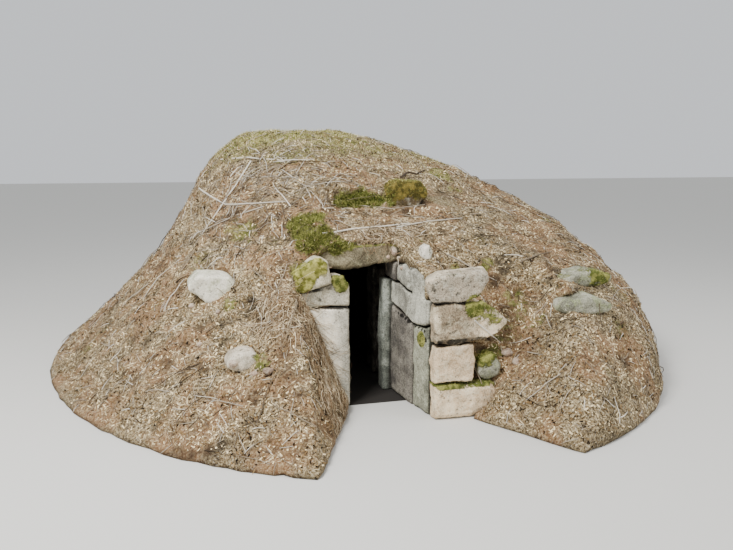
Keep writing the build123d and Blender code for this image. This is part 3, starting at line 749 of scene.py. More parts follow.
@dataclass
class Weather:
    """Where moss grows, and where shade is painted: under the ledge, in the joints, and on darker patches of
    ground that are partly dark soil.

    Each patch is a pixel of the photo, its reach in metres and its strength. Each painted joint shadow is a
    line from one pixel to another, with the same reach and strength all along.
    """

    entry: Entry

    MOSS_PIXELS = (
        (305, 277, 0.19, 1.2), (314, 269, 0.19, 1.1), (302, 286, 0.14, 1.0), (341, 284, 0.12, 1.2),
        (336, 280, 0.09, 1.0), (480, 307, 0.22, 1.0), (494, 312, 0.18, 0.8), (484, 357, 0.17, 1.1),
        (494, 352, 0.15, 0.9), (455, 268, 0.10, 0.9), (421, 339, 0.10, 1.3), (243, 231, 0.26, 0.8),
        (232, 226, 0.20, 0.7), (252, 238, 0.16, 0.7), (231, 304, 0.15, 1.0), (262, 362, 0.15, 0.9),
        (332, 378, 0.14, 1.0), (322, 372, 0.12, 0.8), (600, 274, 0.22, 0.9), (440, 178, 0.30, 0.75),
        (455, 190, 0.24, 0.6), (486, 265, 0.16, 0.75), (392, 190, 0.2, 0.8), (404, 184, 0.2, 0.9),
        (418, 190, 0.16, 0.7), (418, 240, 0.12, 0.7), (400, 232, 0.14, 0.5), (516, 300, 0.25, 0.6),
        (528, 318, 0.3, 0.6), (505, 330, 0.3, 0.6), (236, 144, 0.5, 0.75), (265, 138, 0.5, 0.8),
        (300, 136, 0.5, 0.8), (335, 138, 0.5, 0.75), (365, 146, 0.4, 0.7), (225, 152, 0.4, 0.6),
        (392, 154, 0.3, 0.55), (214, 168, 0.3, 0.5), (200, 262, 0.3, 0.5), (298, 268, 0.2, 0.6),
    )
    DEEP_PIXELS = (
        (306, 228, 0.30, 1.2), (310, 243, 0.26, 1.1), (322, 238, 0.24, 1.1), (336, 245, 0.16, 1.0),
        (316, 220, 0.18, 0.9), (348, 246, 0.10, 0.8), (340, 203, 0.16, 1.1), (354, 202, 0.17, 1.1),
        (370, 202, 0.17, 1.1), (386, 203, 0.15, 1.0), (362, 194, 0.16, 0.8), (346, 196, 0.14, 0.7),
    )
    # Painted shade under the ledge, in holes and gaps between stones and on the shadowy parts of the banks.
    DARK_PIXELS = (
        (424, 204, 0.10, 0.8), (408, 211, 0.10, 0.9), (388, 213, 0.11, 0.7), (366, 214, 0.12, 0.6),
        (346, 214, 0.14, 0.7), (232, 215, 0.2, 0.5), (262, 222, 0.2, 0.5), (292, 226, 0.14, 0.7),
        (276, 240, 0.16, 0.5), (240, 190, 0.2, 0.4), (345, 232, 0.12, 0.6), (372, 236, 0.12, 0.6),
        (392, 234, 0.10, 0.6), (454, 242, 0.12, 0.5), (530, 345, 0.3, 0.5), (328, 208, 0.16, 0.7),
        (401, 315, 0.035, 1.2), (409, 321, 0.04, 1.2), (416, 326, 0.035, 1.2), (425, 340, 0.035, 1.2),
        (515, 290, 0.14, 0.5), (300, 312, 0.10, 0.8), (297, 296, 0.08, 0.7), (286, 350, 0.2, 0.5),
        (516, 318, 0.12, 0.6), (402, 262, 0.07, 0.8), (320, 300, 0.03, 0.7), (412, 268, 0.05, 0.7),
        (436, 248, 0.1, 0.5), (560, 286, 0.08, 0.9), (290, 262, 0.12, 0.5), (505, 258, 0.12, 0.4),
        (548, 282, 0.07, 0.8),
    )
    # Darker patches of ground: partly dark soil, partly painted shade among the litter.
    SHADE_AND_SOIL_PIXELS = (
        (281, 176, 0.15, 0.5), (256, 200, 0.14, 0.5), (302, 190, 0.14, 0.5), (330, 176, 0.16, 0.5),
        (370, 170, 0.16, 0.5), (452, 214, 0.18, 0.5), (480, 236, 0.16, 0.6), (520, 230, 0.14, 0.5),
        (545, 256, 0.16, 0.5), (274, 320, 0.16, 0.6), (256, 300, 0.16, 0.5), (206, 326, 0.16, 0.6),
        (226, 344, 0.14, 0.6), (290, 372, 0.2, 0.5), (280, 268, 0.14, 0.6), (462, 240, 0.12, 0.6),
        (210, 250, 0.2, 0.4), (180, 285, 0.2, 0.5), (535, 300, 0.2, 0.5), (560, 320, 0.2, 0.4),
    )
    # Painted shadow lines in the joints under the capstones, between the jamb stones, between the boulders,
    # under the ledge and along the slab's crack.
    JOINT_SHADOWS = (
        ((432, 304), (486, 302), 0.036, 0.9),
        ((440, 343), (503, 338), 0.045, 0.9),
        ((313, 308), (349, 308), 0.030, 0.9),
        ((301, 293), (331, 288), 0.030, 0.8),
        ((388, 207), (424, 206), 0.060, 0.8),
        ((395, 311), (424, 331), 0.026, 0.9),
    )
    JOINT_STEP = 3.0
    STRAW = (
        Patch(-0.75, -0.1, 0.9, 0.55),
        Patch(-0.6, -0.2, 0.5, 0.5),
        Patch(-0.95, -0.2, 1.25, 0.45, 0.8),
        Patch(-0.55, -0.5, 0.3, 0.5, 0.8),
        Patch(0.1, 0.3, 1.78, 0.4, 0.6),
        Patch(0.5, 0.4, 1.85, 0.4, 0.5),
    )
    EDGES = (Relief(0.45, 6, 3, 5), Relief(0.35, 21, 3, 6))
    EVEN = 0.85
    STRONGEST = 1.2

    def __post_init__(self) -> None:
        """Finds the place of each patch."""
        joint_shadow_pixels = [pixel for joint in self.JOINT_SHADOWS for pixel in self.along(*joint)]
        self.deep_patches = self.patches(self.DEEP_PIXELS)
        self.moss_patches = self.deep_patches + self.patches(self.MOSS_PIXELS)
        self.dark_patches = self.patches((*self.DARK_PIXELS, *self.SHADE_AND_SOIL_PIXELS, *joint_shadow_pixels))

    def patches(self, pixels: Iterable[tuple[float, float, float, float]]) -> list[Patch]:
        """A patch for each pixel, with its reach and its strength."""
        return [Patch(*self.entry.found(pixel[:2]), *pixel[2:]) for pixel in pixels]

    def along(self, start: Pixel, end: Pixel, reach: float, strength: float) -> list[tuple]:
        """Spaces patches evenly along a line.

        Args:
            start: the pixel where the line starts.
            end: the pixel where it ends.
            reach: each patch's reach.
            strength: each patch's strength.

        Returns:
            The pixel, the reach and the strength of each patch.
        """
        steps = int(math.dist(start, end) / self.JOINT_STEP)
        shares = [step / steps for step in range(steps + 1)]
        places = [[a + (b - a) * share for a, b in zip(start, end)] for share in shares]
        return [(across, down, reach, strength) for across, down in places]

    def strongest(self, patches: Sequence[Patch], points: np.ndarray, limit: float = 1.0) -> np.ndarray:
        """Finds the strongest of several patches at each point, with ragged edges.

        Args:
            patches: the patches.
            points: the points, in the row frame.
            limit: the most that a point can have.

        Returns:
            One strength for each point.
        """
        places = self.entry.local(points)
        ragged = sum((edge.at(points) for edge in self.EDGES), start=self.EVEN)
        return np.clip(np.max([patch.weight(places) for patch in patches], axis=0) * ragged, 0, limit)

    def moss(self, points: np.ndarray) -> np.ndarray:
        """How mossy each point is."""
        return self.strongest(self.moss_patches, points, self.STRONGEST)

    def deep(self, points: np.ndarray) -> np.ndarray:
        """How deep the moss is at each point."""
        return self.strongest(self.deep_patches, points)

    def dark(self, points: np.ndarray) -> np.ndarray:
        """How much painted shade and dark soil each point has."""
        return self.strongest(self.dark_patches, points)

    def straw(self, points: np.ndarray) -> np.ndarray:
        """How much straw hangs at each point."""
        return self.strongest(self.STRAW, points)


# ---------------------------------------------------------------- stones


@dataclass(frozen=True)
class StoneSpec:
    """How one stone is worked: its finish, how rough it is, and where moss grows on it."""

    node: str
    finish: str
    voxel: float = 0.012
    waves: float = 0.012
    moss_top: float = 0.0
    moss_all: float = 0.0
    stain_right: float = 0.0
    rubble: bool = False
    worn_joint: float = 0.010
    slot: Slot = Slot.GRANITE


@dataclass
class Stonework:
    """The field stones and slabs that show, each worked from its CAD solid."""

    weather: Weather
    smoothing: int = 6
    joint_reach: float = 0.034
    broad: Relief = Relief(1.0, 2.6, 2)
    lumpy: Relief = Relief(0.5, 8.5, 3, 40)
    grit: Relief = Relief(0.0022, 34, 2, 80)
    worn: Relief = Relief(1.6, 7, 2, 60)
    least_worn: float = 0.45
    rubble_stones: Place = (3.2, 3.2, 5.5)
    rubble_joint: Span = (0.02, 0.2)
    rubble_depth: float = 0.024
    cushion: float = 0.014
    cushion_span: Span = (0.4, 0.8)
    cushion_lumps: Relief = Relief(0.5, 26, 3, 90)
    moss_patches: Relief = Relief(0.28, 3.4, 3, 20)
    upward: Span = (0.2, 0.75)
    stain_edge: Relief = Relief(0.15, 6, 2)
    stain_span: Span = (0.55, 0.9)
    materials: dict[str, bpy.types.Material] = field(default_factory=dict)
    pieces: list[Piece] = field(default_factory=list)

    FINISHES = (
        StoneFinish("granite_cap", (222, 212, 184), (168, 160, 136),
                    moss_dark=(114, 114, 48), moss_light=(204, 196, 112)),
        StoneFinish("granite_block", (206, 198, 178), (166, 158, 138), spot_cover=0.3),
        StoneFinish("granite_upright", (255, 244, 222), (236, 226, 204),
                    streaks=0.3, spot_cover=0.15, lichen=(240, 232, 212)),
        StoneFinish("granite_lintel", (142, 132, 108), (90, 83, 66),
                    lichen=(166, 162, 130), streaks=0.2),
        StoneFinish("granite_post", (164, 168, 158), (112, 116, 108),
                    lichen=(196, 200, 186), streaks=0.6),
        StoneFinish("granite_slab", (190, 188, 174), (138, 136, 126),
                    lichen=(210, 210, 194), lichen_cover=0.6),
        # A darker copy of the slab granite for the slabs that lie back under the others: partly their own
        # tone, partly painted shade.
        StoneFinish("granite_slab_dark_and_shaded", (140, 134, 124), (92, 88, 84),
                    lichen=(168, 164, 150), streaks=0.5),
        StoneFinish("granite_outer_slab", (160, 160, 142), (106, 108, 96),
                    lichen=(196, 200, 176), streaks=0.5),
        StoneFinish("granite_pink", (246, 224, 190), (206, 182, 150), lichen=(230, 220, 196)),
        StoneFinish("granite_mottled", (240, 220, 188), (148, 132, 110),
                    lichen=(230, 220, 192), spot_cover=0.8),
        StoneFinish("granite_wing_cap", (218, 202, 176), (164, 152, 134),
                    spot_cover=0.85, spots=(78, 74, 66)),
        StoneFinish("granite_slope", (230, 224, 206), (178, 174, 154),
                    lichen=(150, 158, 112), lichen_cover=0.4),
        StoneFinish("granite_low", (206, 194, 174), (142, 130, 112),
                    spot_cover=0.7, spots=(104, 88, 68)),
        StoneFinish("granite_bank", (178, 176, 158), (116, 116, 100),
                    lichen=(142, 150, 106), lichen_cover=0.5),
        StoneFinish("granite_white", (222, 216, 200), (150, 148, 128),
                    spot_cover=0.8, spots=(92, 96, 74)),
        StoneFinish("granite_ledge", (120, 108, 86), (70, 62, 48),
                    moss_dark=(62, 74, 32), moss_light=(146, 148, 78)),
        StoneFinish("granite_ledge_boulder", (136, 120, 92), (84, 72, 54),
                    moss_dark=(82, 74, 36), moss_light=(142, 124, 62)),
        # A dark copy of the granite for the stones inside the passage and chamber: painted shade.
        StoneFinish("granite_in_painted_shade", (84, 80, 74), (54, 51, 47), lichen_cover=0.12),
        StoneFinish("granite_chock", (194, 170, 150), (142, 122, 106)),
    )
    SPECS = (
        StoneSpec("left_jamb_upright", "granite_upright", 0.011, 0.010, moss_all=0.06, stain_right=0.9),
        StoneSpec("left_jamb_block", "granite_block", 0.010, 0.011, moss_all=0.04, slot=Slot.MOSSY),
        StoneSpec("left_jamb_capstone", "granite_cap", 0.010, 0.012, moss_top=0.45, slot=Slot.MOSSY),
        StoneSpec("entrance_lintel", "granite_lintel", 0.013, 0.018, moss_top=0.7, moss_all=0.1),
        StoneSpec("right_jamb_post", "granite_post", 0.013, 0.012),
        # These two slabs take the darker slab granite, partly painted shade.
        StoneSpec("right_bearing_stone", "granite_slab_dark_and_shaded", 0.014, 0.008),
        StoneSpec("wing_lower_slab", "granite_slab_dark_and_shaded", 0.014, 0.014),
        StoneSpec("wing_outer_slab", "granite_outer_slab", 0.012, 0.014, moss_all=0.12),
        StoneSpec("wing_upper_slab", "granite_slab", 0.012, 0.014, moss_top=0.2, worn_joint=0.018),
        StoneSpec("wing_corbel_block", "granite_slab", 0.011, 0.011, moss_top=0.3),
        StoneSpec("wing_foot_boulder", "granite_pink", 0.013, 0.026, moss_top=0.6, moss_all=0.15),
        StoneSpec("wing_low_boulder", "granite_pink", 0.012, 0.026, moss_top=0.2),
        StoneSpec("wing_middle_boulder", "granite_mottled", 0.0125, 0.028, moss_top=0.3, slot=Slot.MOSSY),
        StoneSpec("wing_capstone", "granite_wing_cap", 0.010, 0.016, moss_top=0.3),
        StoneSpec("wing_side_stone", "granite_bank", 0.011, 0.016, moss_top=0.8),
        StoneSpec("shelf_stone", "granite_white", 0.008, 0.008, moss_all=0.1),
        StoneSpec("ledge_slab", "granite_ledge", 0.014, 0.016, moss_top=1.0, moss_all=0.4, slot=Slot.MOSSY),
        StoneSpec("ledge_boulder", "granite_ledge_boulder", 0.013, 0.016,
                  moss_top=1.0, moss_all=0.3, slot=Slot.MOSSY),
        StoneSpec("left_slope_boulder", "granite_slope", 0.013, 0.016, moss_top=0.2, moss_all=0.1),
        StoneSpec("left_slope_stone", "granite_low", 0.012, 0.022, moss_all=0.12),
        StoneSpec("right_bank_slab", "granite_bank", 0.013, 0.014, moss_top=0.4, moss_all=0.1),
        StoneSpec("right_bank_stone", "granite_bank", 0.013, 0.014, moss_top=0.2, moss_all=0.1),
        # The stones inside take the dark granite of painted shade.
        StoneSpec("inner_lintel", "granite_in_painted_shade", 0.022, 0.012),
        *[StoneSpec(node, "granite_in_painted_shade", 0.024, 0.010, rubble=True) for node in PASSAGE_WALLS],
        *[StoneSpec(node, "granite_in_painted_shade", 0.055, 0.008, rubble=True) for node in CHAMBER_WALLS],
        *[StoneSpec(node, "granite_in_painted_shade", 0.055, 0.016) for node in ROOF_NODES],
    )

    def build(self) -> None:
        """Makes the finishes and works every stone."""
        self.materials = {finish.name: finish.material() for finish in self.FINISHES}
        for number, spec in enumerate(self.SPECS, start=1):
            self.stone(spec, number)

    def stone(self, spec: StoneSpec, seed: int) -> None:
        """Works one stone: fine skin, softened edges, uneven faces, worn joints and moss.

        Args:
            spec: how it is worked.
            seed: a number that sets it apart from the others.
        """
        piece = Piece.from_nodes("stone_" + spec.node, [spec.node]).remeshed(spec.voxel, self.smoothing)
        points = piece.read("co")
        others = tree_of(name for name in STONE_NODES if name != spec.node)
        joint = 1 - distances(others, points, self.joint_reach) / self.joint_reach
        moss = self.moss(spec, points, piece.read("normal")[:, 2], seed)
        shift = spec.waves * (self.broad.at(points, seed) + self.lumpy.at(points, seed))
        shift += self.grit.at(points, seed)
        shift -= spec.worn_joint * joint * (self.least_worn + np.maximum(self.worn.at(points, seed), 0))
        if spec.rubble:
            gaps = self.rubble_joints(points)
            shift -= self.rubble_depth * gaps
            joint = np.maximum(joint, gaps)
        lumps = 0.5 + self.cushion_lumps.at(points, seed)
        shift += self.cushion * smooth_step(moss, *self.cushion_span) * lumps
        piece.raised(shift)
        across = (points[:, 0] - points[:, 0].min()) / np.ptp(points[:, 0])
        stain = smooth_step(across + self.stain_edge.at(points, seed), *self.stain_span) * spec.stain_right
        # The joint mask carries painted shade where stones meet and in rubble joints; the dark mask carries
        # painted shadow.
        deep, dark = self.weather.deep(points), self.weather.dark(points)
        piece.masks(moss=moss, joint=joint**2, deep=deep, dark=dark, stain=stain)
        self.pieces.append(piece)
        piece.place(self.materials[spec.finish], spec.slot, [spec.node])

    def rubble_joints(self, points: np.ndarray) -> np.ndarray:
        """Finds the joints between the stones of a rubble wall.

        Args:
            points: the points.

        Returns:
            How near each point is to a joint, from 0 to 1.
        """
        nearest = [noise.voronoi(Vector(p))[0][:2] for p in points * self.rubble_stones]
        between = np.array([second - first for first, second in nearest])
        return 1 - smooth_step(between, *self.rubble_joint)

    def moss(self, spec: StoneSpec, points: np.ndarray, upward: np.ndarray, seed: int) -> np.ndarray:
        """Finds where moss grows on a stone.

        Args:
            spec: how the stone is worked.
            points: the points.
            upward: how far each point's normal points up.
            seed: the stone's number.

        Returns:
            How mossy each point is, from 0 to 1.
        """
        top = smooth_step(upward, *self.upward) * spec.moss_top
        moss = np.maximum(top, self.weather.moss(points)) + spec.moss_all
        return np.clip(moss + self.moss_patches.at(points, seed), 0, 1)


# ---------------------------------------------------------------- mound


@dataclass
class Mound:
    """The earth cover as one skin, with its masks."""

    entry: Entry
    weather: Weather
    push: float = 0.006
    voxel: float = 0.050
    smoothing: int = 5
    target: int = 150000
    fine_centre: Place = (0.2, -0.1, 0.9)
    fine_reach: float = 1.7
    buried: float = 0.07
    foot: float = 0.015
    foot_span: Span = (0.0, 0.15)
    edge_span: Span = (0.04, 0.09)
    lift: float = 0.008
    humps: Relief = Relief(0.05, 1.1, 3, 3)
    clods: tuple[Relief, ...] = (Relief(0.030, 4.2, 3, 7), Relief(0.018, 13, 3, 11))
    joint_reach: float = 0.16
    joint_span: Span = (0.02, 0.14)
    joint_relief: float = 0.2
    cushion: float = 0.016
    deep_cushion: float = 0.03
    cushion_span: Span = (0.45, 0.8)
    cushion_lumps: Relief = Relief(1.0, 9, 3, 31)
    least_lumps: float = 0.6
    sunk: float = 0.03
    moss_patches: Relief = Relief(1.0, 1.9, 4, 21)
    moss_even: float = 0.16
    moss_varied: float = 0.44
    crest_edge: float = 0.35
    crest_span: Span = (2.15, 2.75)
    crest_moss: float = 0.6
    overhang: float = 0.25
    overhang_span: Span = (0.0, 0.4)
    overhang_shade: float = 0.45
    hollow_edge: Relief = Relief(0.022, 7, 4, 12)
    hollow_span: Span = (-0.006, 0.03)
    hollow_groups: tuple[Relief, ...] = (Relief(1.0, 1.1, 3, 14), Relief(0.4, 3.1, 3, 15))
    group_span: Span = (-0.25, 0.5)
    least_hollow: float = 0.25
    open_span: Span = (0.02, 0.3)

    def build(self) -> Piece:
        """Builds the skin, its relief and its masks.

        Returns:
            The skin.
        """
        skin = Piece.from_nodes("mound_skin", MOUND_NODES, self.push).remeshed(self.voxel, self.smoothing)
        self.refine(skin)
        points = skin.read("co")
        hidden = self.hidden(points)
        skin.raised(self.relief(points) * (1 - hidden))
        share = self.target / skin.triangles()
        skin.modified(("DECIMATE", {"ratio": share, "vertex_group": "weights"}), group=hidden)
        self.paint(skin)
        skin.place(EarthFinish().material(), Slot.EARTH, MOUND_NODES)
        return skin

    def refine(self, skin: Piece) -> None:
        """Halves the skin's faces round the entry.

        Args:
            skin: the skin.
        """
        points = skin.read("co")
        away = lengths(points - (self.entry.origin + self.fine_centre))
        near = (away < self.fine_reach) & (self.hidden(points) < 0.5)
        fine = bmesh.new()
        fine.from_mesh(skin.mesh)
        edges = [edge for edge in fine.edges if all(near[vertex.index] for vertex in edge.verts)]
        bmesh.ops.subdivide_edges(fine, edges=edges, cuts=1, use_grid_fill=True)
        fine.to_mesh(skin.mesh)
        fine.free()

    def hidden(self, points: np.ndarray) -> np.ndarray:
        """Finds where the skin lies on the ground or against buried stonework.

        Args:
            points: the points.

        Returns:
            1 where it is hidden, and 0 where it shows.
        """
        low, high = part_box("front_wall_left_pier")[0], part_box("chamber_rear_wall")[1]
        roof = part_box(ROOF_NODES[0])[1][2]
        x, y, z = points.T
        wide = (x > low[0] - self.buried) & (x < high[0] + self.buried)
        long = (y > low[1] + self.buried) & (y < high[1] + self.buried)
        return ((z < self.foot) | (wide & long & (z < roof + self.buried))).astype(float)

    def moss(self, points: np.ndarray) -> np.ndarray:
        """Finds where moss grows on the skin.

        Args:
            points: the points.

        Returns:
            How mossy each point is, from 0 to 1.
        """
        patches = self.moss_patches.at(points)
        crest = smooth_step(points[:, 2] + self.crest_edge * patches, *self.crest_span) * self.crest_moss
        grown = np.maximum(crest, self.moss_even + self.moss_varied * patches)
        return np.clip(np.maximum(grown, self.weather.moss(points)), 0, 1)

    def relief(self, points: np.ndarray) -> np.ndarray:
        """Shapes the humps, the clods and the cushions of moss.

        Args:
            points: the points.

        Returns:
            How far the skin stands off its smooth shape.
        """
        free = smooth_step(distances(tree_of(STONE_NODES), points, self.joint_reach), *self.joint_span)
        clods = sum(relief.at(points) for relief in (self.humps, *self.clods))
        moss = smooth_step(self.moss(points), *self.cushion_span)
        cushions = (self.cushion + self.deep_cushion * self.weather.deep(points)) * moss
        cushions *= self.least_lumps + self.cushion_lumps.at(points)
        height = clods * (self.joint_relief + (1 - self.joint_relief) * free) + cushions
        height -= self.sunk * self.weather.dark(points) * free
        return self.lift + height * smooth_step(points[:, 2], *self.foot_span)

    def paint(self, skin: Piece) -> None:
        """Works out the masks.

        Args:
            skin: the skin.
        """
        points = skin.read("co")
        upward = skin.read("normal")[:, 2]
        # Painted shade on the skin where it faces down, under overhangs.
        overhang = smooth_step(self.overhang - upward, *self.overhang_span) * self.overhang_shade
        # Painted shade in the hollows of the relief, in irregular groups.
        low = self.hollow_edge.at(points) - sum(clod.at(points) for clod in self.clods)
        groups = smooth_step(sum(group.at(points) for group in self.hollow_groups), *self.group_span)
        spread = self.least_hollow + (1 - self.least_hollow) * groups
        above_foot = smooth_step(points[:, 2], *self.edge_span)
        skin.masks(
            moss=self.moss(points),
            deep=self.weather.deep(points),
            straw=self.weather.straw(points) * above_foot,
            dark=np.maximum(overhang, self.weather.dark(points)),
            hollow=smooth_step(low, *self.hollow_span) * spread,
            open=(1 - self.hidden(points)) * smooth_step(upward, *self.open_span) * above_foot,
        )


# ---------------------------------------------------------------- litter, twigs, moss and straw


class Ground:
    """Finished surfaces that loose things lie on."""

    MASKS = ("moss", "deep", "dark", "straw", "open", "hollow")

    def __init__(self, pieces: Sequence[Piece]) -> None:
        """Joins the surfaces of several pieces, with the masks of each.

        Args:
            pieces: the pieces.
        """
        starts = np.cumsum([0] + [len(piece.mesh.vertices) for piece in pieces])
        self.points = np.concatenate([piece.read("co") for piece in pieces])
        self.triangles = np.concatenate([self.corners(*pair) for pair in zip(pieces, starts)])
        self.masks = {
            name: np.concatenate([self.mask(piece, name) for piece in pieces]) for name in self.MASKS
        }
        self.tree = BVHTree.FromPolygons(self.points.tolist(), self.triangles.tolist())

    def corners(self, piece: Piece, start: int) -> np.ndarray:
        """Numbers the corners of a piece's triangles.

        Args:
            piece: the piece.
            start: the number of its first vertex.

        Returns:
            Three numbers for each triangle.
        """
        piece.mesh.calc_loop_triangles()
        corners = np.empty(len(piece.mesh.loop_triangles) * 3, dtype=np.int32)
        piece.mesh.loop_triangles.foreach_get("vertices", corners)
        return corners.reshape(-1, 3) + start

    def mask(self, piece: Piece, name: str) -> np.ndarray:
        """Reads one mask of a piece.

        Args:
            piece: the piece.
            name: the mask's name.

        Returns:
            A value for each vertex, 0 where the piece has no such mask.
        """
        values = np.zeros(len(piece.mesh.vertices), dtype=np.float32)
        if name in piece.mesh.attributes:
            piece.mesh.attributes[name].data.foreach_get("value", values)
        return values

    def scatter(
        self, count: int, weight: np.ndarray, rng: np.random.Generator
    ) -> tuple[np.ndarray, np.ndarray]:
        """Picks random places on the surface.

        Args:
            count: how many.
            weight: for each vertex, how likely a place near it is.
            rng: where the numbers come from.

        Returns:
            The places, and the surface's normal at each.
        """
        corners = self.points[self.triangles]
        cross = np.cross(corners[:, 1] - corners[:, 0], corners[:, 2] - corners[:, 0])
        share = lengths(cross) * weight[self.triangles].mean(axis=1)
        chosen = rng.choice(len(share), count, p=share / share.sum())
        u, v = rng.random(count), rng.random(count)
        u, v = np.where(u + v > 1, 1 - u, u), np.where(u + v > 1, 1 - v, v)
        first, second, third = corners[chosen].transpose(1, 0, 2)
        return first + (second - first) * u[:, None] + (third - first) * v[:, None], unit(cross[chosen])

    def settled(self, place: Vector, lift: float) -> Vector:
        """Finds the nearest place on the surface.

        Args:
            place: a place near it.
            lift: how far off the surface the result is, and the lowest that it can be.

        Returns:
            That place.
        """
        found, normal, _, _ = self.tree.find_nearest(place)
        settled = found + normal * lift
        settled.z = max(settled.z, lift)
        return settled


class Loose:
    """Many small bits joined in one mesh, each with its tone."""

    OFF_AXIS = (0.31, 0.17, 0.93)

    def __init__(self, name: str, seed: int) -> None:
        """Starts an empty heap.

        Args:
            name: the piece's name.
            seed: sets its random numbers.
        """
        self.name = name
        self.rng = np.random.default_rng(seed)
        self.points: list[np.ndarray] = []
        self.faces: list[list[int]] = []
        self.tones: list[np.ndarray] = []
        self.count = 0

    def add(self, points: np.ndarray, faces: Iterable[Iterable[int]], tones: Any) -> None:
        """Adds corners and faces.

        Args:
            points: the corners.
            faces: the corners of each face, numbered from 0.
            tones: the tone of each corner, or one for all.
        """
        self.points.append(points)
        self.faces += [[self.count + int(index) for index in face] for face in faces]
        self.tones.append(np.broadcast_to(tones, len(points)))
        self.count += len(points)

    def strips(
        self, foot: np.ndarray, ahead: np.ndarray, across: np.ndarray, tones: np.ndarray, taper: float
    ) -> None:
        """Adds flat strips.

        Args:
            foot: the middle of each strip's first end.
            ahead: from there to the middle of the other end.
            across: across the first end.
            tones: each strip's tone.
            taper: how wide the other end is, as a share of the first.
        """
        side, tip = across / 2, foot + ahead
        corners = np.stack([foot - side, foot + side, tip + side * taper, tip - side * taper], 1)
        self.add(corners.reshape(-1, 3), np.arange(len(foot) * 4).reshape(-1, 4), np.repeat(tones, 4))

    def tube(self, path: Sequence[Vector], thick: float, thin: float, tone: float, sides: int = 3) -> None:
        """Adds a closed tapering tube.

        Args:
            path: its middle line.
            thick: its radius at the start.
            thin: its radius at the end.
            tone: its tone.
            sides: how many sides it has.
        """
        line = np.array([tuple(p) for p in path])
        along = unit(np.gradient(line, axis=0))
        side = unit(np.cross(along, self.OFF_AXIS))
        other = np.cross(along, side)
        turn = np.arange(sides) * 2 * math.pi / sides
        radius = np.linspace(thick, thin, len(line))[:, None, None]
        ring = side[:, None] * np.cos(turn)[None, :, None] + other[:, None] * np.sin(turn)[None, :, None]
        rings = np.arange(len(line) * sides).reshape(-1, sides)
        faces = [rings[0][::-1], rings[-1]]
        for near, far in zip(rings, rings[1:]):
            faces += [[near[k - 1], near[k], far[k], far[k - 1]] for k in range(sides)]
        self.add((line[:, None] + ring * radius).reshape(-1, 3), faces, tone)

    def place(self, material: bpy.types.Material, slot: Slot = Slot.EARTH, smooth: bool = False) -> None:
        """Puts the heap in the scene.

        Args:
            material: its finish.
            slot: its material slot.
            smooth: shades across the faces.
        """
        piece = Piece.from_data(self.name, np.concatenate(self.points), self.faces)
        piece.masks(tone=np.concatenate(self.tones))
        piece.place(material, slot, smooth=smooth)


def thinned(mask: np.ndarray, share: float, loss: float) -> np.ndarray:
    """A share that falls as a mask rises."""
    return share - mask * loss


def tangents(normals: np.ndarray, rng: np.random.Generator) -> np.ndarray:
    """A random direction along the surface for each normal."""
    guess = rng.normal(size=normals.shape)
    return unit(guess - normals * (guess * normals).sum(axis=1)[:, None])


@dataclass(frozen=True)
class Bits:
    """One kind of flat litter: its piece, its seed, how many, their lengths and widths, and their finish."""

    name: str
    seed: int
    count: int
    long: Span
    wide: Span
    finish: ScatterFinish


@dataclass
class Litter:
    """Dry needles, bark and cone chips all over the mound, fewer on moss and in the hollows."""

    ground: Ground
    kinds: tuple[Bits, ...] = (
        Bits("needle_litter", 5, 46000, (0.016, 0.05), (0.003, 0.006),
             ScatterFinish("dry_needles", (44, 34, 24), (154, 126, 84), (250, 230, 184))),
        Bits("bark_litter", 6, 42000, (0.012, 0.036), (0.007, 0.018),
             ScatterFinish("bark_chips", (30, 23, 16), (136, 108, 72), (246, 224, 176))),
    )
    on_moss: Fall = (1.1, 0.6)
    in_hollows: Fall = (1.03, 0.85)
    tilt: Span = (-0.1, 0.45)
    lift: float = 0.003
    taper: float = 0.7
    tones: Beta = (0.7, 0.6)
    tone_patches: Relief = Relief(0.75, 4.3, 4, 51)

    def build(self) -> None:
        """Strews each kind."""
        masks = self.ground.masks
        # Fewer bits where shade and dark soil are painted and in the painted shade of the hollows, so the
        # painted shade shows.
        hollows = np.maximum(masks["dark"], masks["hollow"])
        bare = masks["open"] * thinned(masks["moss"], *self.on_moss) * thinned(hollows, *self.in_hollows)
        for kind in self.kinds:
            self.strew(kind, bare)

    def strew(self, kind: Bits, weight: np.ndarray) -> None:
        """Strews the bits of one kind.

        Args:
            kind: the kind.
            weight: how likely each part of the ground is.
        """
        heap = Loose(kind.name, kind.seed)
        rng, count = heap.rng, kind.count
        places, normals = self.ground.scatter(count, weight, rng)
        tilt = rng.uniform(*self.tilt, count)[:, None]
        ahead = unit(tangents(normals, rng) + normals * tilt) * rng.uniform(*kind.long, count)[:, None]
        across = unit(np.cross(normals, ahead)) * rng.uniform(*kind.wide, count)[:, None]
        tones = np.clip(rng.beta(*self.tones, count) + self.tone_patches.at(places), 0, 1)
        heap.strips(places + normals * self.lift, ahead, across, tones, self.taper)
        heap.place(kind.finish.material())


